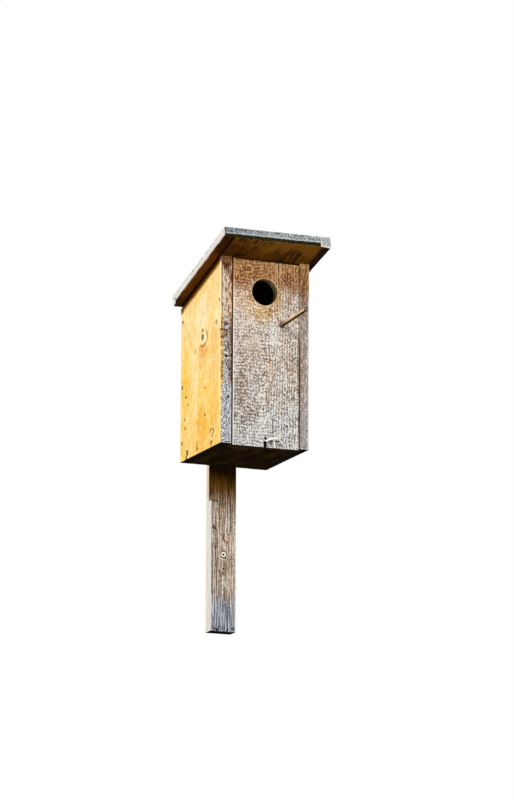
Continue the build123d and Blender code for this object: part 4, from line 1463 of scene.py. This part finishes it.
def tube(name, centres, radii, turns, material, slot, *replaced, flat=1.0, up=z_axis):
    """A closed rod along some centres; flat squashes its section against up."""
    verts, faces = [], []
    for index, (centre, radius) in enumerate(zip(centres, radii)):
        before = centres[max(0, index - 1)]
        after = centres[min(len(centres) - 1, index + 1)]
        axis = (after - before).normalized()
        side = axis.cross(up).normalized()
        upward = side.cross(axis)
        for turn in range(turns):
            angle = 2 * pi * turn / turns
            grain = 1 + 0.03 * wobble((cos(angle), sin(angle), index * 0.15), 0.7, 41)
            across, over = cos(angle) * radius * grain, sin(angle) * radius * grain * flat
            verts.append(centre + (side * across + upward * over))
    for index in range(len(centres) - 1):
        for turn in range(turns):
            after = (turn + 1) % turns
            row, following = index * turns, (index + 1) * turns
            faces.append((row + turn, row + after, following + after, following + turn))
    faces.append(tuple(range(turns)))
    faces.append(tuple(range(len(verts) - turns, len(verts))))
    mesh = bpy.data.meshes.new(name)
    mesh.from_pydata(verts, [], faces)
    clean(mesh)
    dress(mesh, name, material, slot, *replaced)


def make_perch():
    """A dowel, a touch crooked, with a rounded and slightly hollow end."""
    start = perch_middle - perch_axis * (perch_length / 2)
    in_wood = 8 * mm
    count = 40
    tip = perch_length - 1.2 * mm
    centres, radii = [], []
    for k in range(count + 1):
        along = in_wood + (tip - in_wood) * k / count
        bow = 0.25 * mm * sin(pi * k / count)
        centres.append(start + perch_axis * along - perch_up * bow)
        radii.append(perch_radius * (0.985 + 0.01 * wobble((0, 0, k * 0.4), 1.0, 42)))
    for beyond, share in ((0.5, 0.95), (0.9, 0.85), (1.1, 0.7), (1.0, 0.4), (0.85, 0.12)):
        centres.append(start + perch_axis * (tip + beyond * mm))
        radii.append(perch_radius * share)
    tube("worn_perch", centres, radii, 28, perch_wood(), "dowel", "perch")


def make_splinters():
    """Two torn bundles of fibres that stand proud over the flaked patch."""
    material = splinter_wood()
    for name, path in (
        ("lifted_splinter", ((0.6, 9.2, 1.5), (5, 12.4, 2.0), (10, 14.2, 1.9), (15, 15.4, 1.4),
                             (21, 18.4, 0.8), (27, 20.6, 0.2))),
        ("lifted_splinter_branch", ((13.0, 14.6, 0.7), (18, 14.8, 1.0), (23, 15.8, 0.7),
                                    (28.0, 17.4, 0.2))),
    ):
        centres = []
        for index, (x, z, _) in enumerate(path):
            lift = 0.9 * sin(pi * (index + 0.5) / len(path)) - 0.2
            centres.append(Vector((x * mm, front_y - lift * mm, z * mm)))
        radii = [width * mm for _, _, width in path]
        tube(name, centres, radii, 8, material, "weathered_softwood", up=-y_axis, flat=0.5)


def finish_metal():
    """The frame's own nails and screws keep their form and get their rust."""
    rusty = metal("rusty_nail", "#1E1410", "#33201A", 0.1, 0.75, 0.2)
    faded = metal("rusty_nail_faded", "#9C9460", "#7E7440", 0.1, 0.75, 0.1)
    bright = metal("bright_nail", "#F0EADC", "#CDB48A", -0.1, 0.4, 0.3)
    facing = [name for name in screw_names if "wall" in name]
    zinc = metal("screw_steel", "#E2DAC6", "#C9B893", -0.05, 0.45, 0.3, facing, "#2A2320")
    for names, material in (
        (nail_names, rusty), (["left_front_nail"], faded), (["bent_nail"], bright), (screw_names, zinc),
    ):
        for name in names:
            nodes[name].data.materials.clear()
            nodes[name].data.materials.append(material)


# Stage, lights and camera
floor_half = 6.0
floor_drop = 1.9
floor_paleness = 0.5
lamp_distance = 5.0
key_direction = Vector((1.0, 0.13, -0.84))
key_size = 0.35
key_level = 0.80
fill_direction = Vector((-0.25, 1.0, -0.15))
fill_size = 3.0
fill_level = 0.58
rear_direction = Vector((0.2, -1.0, -0.4))
rear_size = 3.0
rear_level = 0.4
sky_level = 0.30
camera_azimuth = radians(22.387)
camera_rise = radians(12.307)
camera_roll = radians(0.255)
camera_distance = 9.0
camera_target = Vector((-0.00986, front_y + 0.0172, 0.08567))
focal_length = 230.94


def add_node(tree, kind, *sources):
    """Add a node, its first inputs linked to some sockets."""
    node = tree.nodes.new("ShaderNode" + kind)
    for source, socket in zip(sources, node.inputs):
        tree.links.new(source, socket)
    return node


def seen_rays(tree):
    """1 for what the camera sees, also in gloss and through glass, and 0 for light."""
    rays = add_node(tree, "LightPath").outputs
    share = rays["Is Camera Ray"]
    for name in ("Is Glossy Ray", "Is Transmission Ray"):
        either = add_node(tree, "Math", share, rays[name])
        either.operation = "MAXIMUM"
        share = either.outputs[0]
    return share


def make_floor():
    """A plain pale floor well below the box, not seen from underneath."""
    mesh = bpy.data.meshes.new("floor")
    half, level = floor_half, batten_low.z - floor_drop
    corners = [(-half, -half, level), (half, -half, level), (half, half, level), (-half, half, level)]
    mesh.from_pydata(corners, [], [(0, 1, 2, 3)])
    floor = bpy.data.objects.new("floor", mesh)
    scene.collection.objects.link(floor)
    material = bpy.data.materials.new("floor")
    material.use_nodes = True
    tree = material.node_tree
    surface = tree.nodes["Principled BSDF"]
    surface.inputs["Base Color"].default_value = (0.82, 0.82, 0.80, 1)
    surface.inputs["Roughness"].default_value = 0.9
    share = add_node(tree, "Math", seen_rays(tree))
    share.operation = "MULTIPLY"
    share.inputs[1].default_value = floor_paleness
    white = add_node(tree, "Emission")
    paler = add_node(tree, "MixShader", share.outputs[0], surface.outputs[0], white.outputs[0])
    clear = add_node(tree, "BsdfTransparent")
    from_below = add_node(tree, "NewGeometry").outputs["Backfacing"]
    join = add_node(tree, "MixShader", from_below, paler.outputs[0], clear.outputs[0])
    tree.links.new(join.outputs[0], tree.nodes["Material Output"].inputs["Surface"])
    mesh.materials.append(material)


def add_lamp(name, direction, size, level):
    """A round soft lamp that shines on the box from afar. At level 1 it lights a surface that
    faces it so that its colour renders as it is written."""
    lamp = bpy.data.lights.new(name, "AREA")
    lamp.shape = "DISK"
    lamp.size = size
    lamp.energy = level * pi ** 2 * lamp_distance ** 2
    holder = bpy.data.objects.new(name, lamp)
    holder.location = camera_target - direction.normalized() * lamp_distance
    holder.rotation_euler = direction.to_track_quat("-Z", "Y").to_euler()
    scene.collection.objects.link(holder)


def make_sky():
    """A pale sky, which looks white to the camera and in gloss."""
    world = bpy.data.worlds.new("sky")
    scene.world = world
    world.use_nodes = True
    tree = world.node_tree
    light = tree.nodes["Background"]
    light.inputs["Color"].default_value = (1.0, 0.99, 0.97, 1)
    light.inputs["Strength"].default_value = sky_level
    shown = add_node(tree, "Background")
    shown.inputs["Color"].default_value = (1, 1, 1, 1)
    join = add_node(tree, "MixShader", seen_rays(tree), light.outputs[0], shown.outputs[0])
    tree.links.new(join.outputs[0], tree.nodes["World Output"].inputs["Surface"])


def make_camera():
    """At the photo's viewing angle: low and to the left, looking a little up."""
    level = Vector((sin(camera_azimuth), cos(camera_azimuth), 0))
    forward = level * cos(camera_rise) + Vector((0, 0, sin(camera_rise)))
    right = Vector((cos(camera_azimuth), -sin(camera_azimuth), 0))
    turn = Matrix.Rotation(camera_roll, 3, -forward)
    right = turn @ right
    up = right.cross(forward)
    data = bpy.data.cameras.new("camera")
    data.lens = focal_length
    data.clip_end = 100
    camera = bpy.data.objects.new("camera", data)
    scene.collection.objects.link(camera)
    rotation = Matrix((right, up, -forward)).transposed().to_4x4()
    camera.matrix_world = Matrix.Translation(camera_target - forward * camera_distance) @ rotation
    scene.camera = camera


make_camera()
make_side_walls()
make_front_board()
make_splinters()
make_back_board()
make_floor_board()
make_roof()
make_batten()
make_perch()
finish_metal()
make_floor()
make_sky()
add_lamp("key", key_direction, key_size, key_level)
add_lamp("fill", fill_direction, fill_size, fill_level)
add_lamp("rear", rear_direction, rear_size, rear_level)
scene.view_settings.view_transform = "Standard"
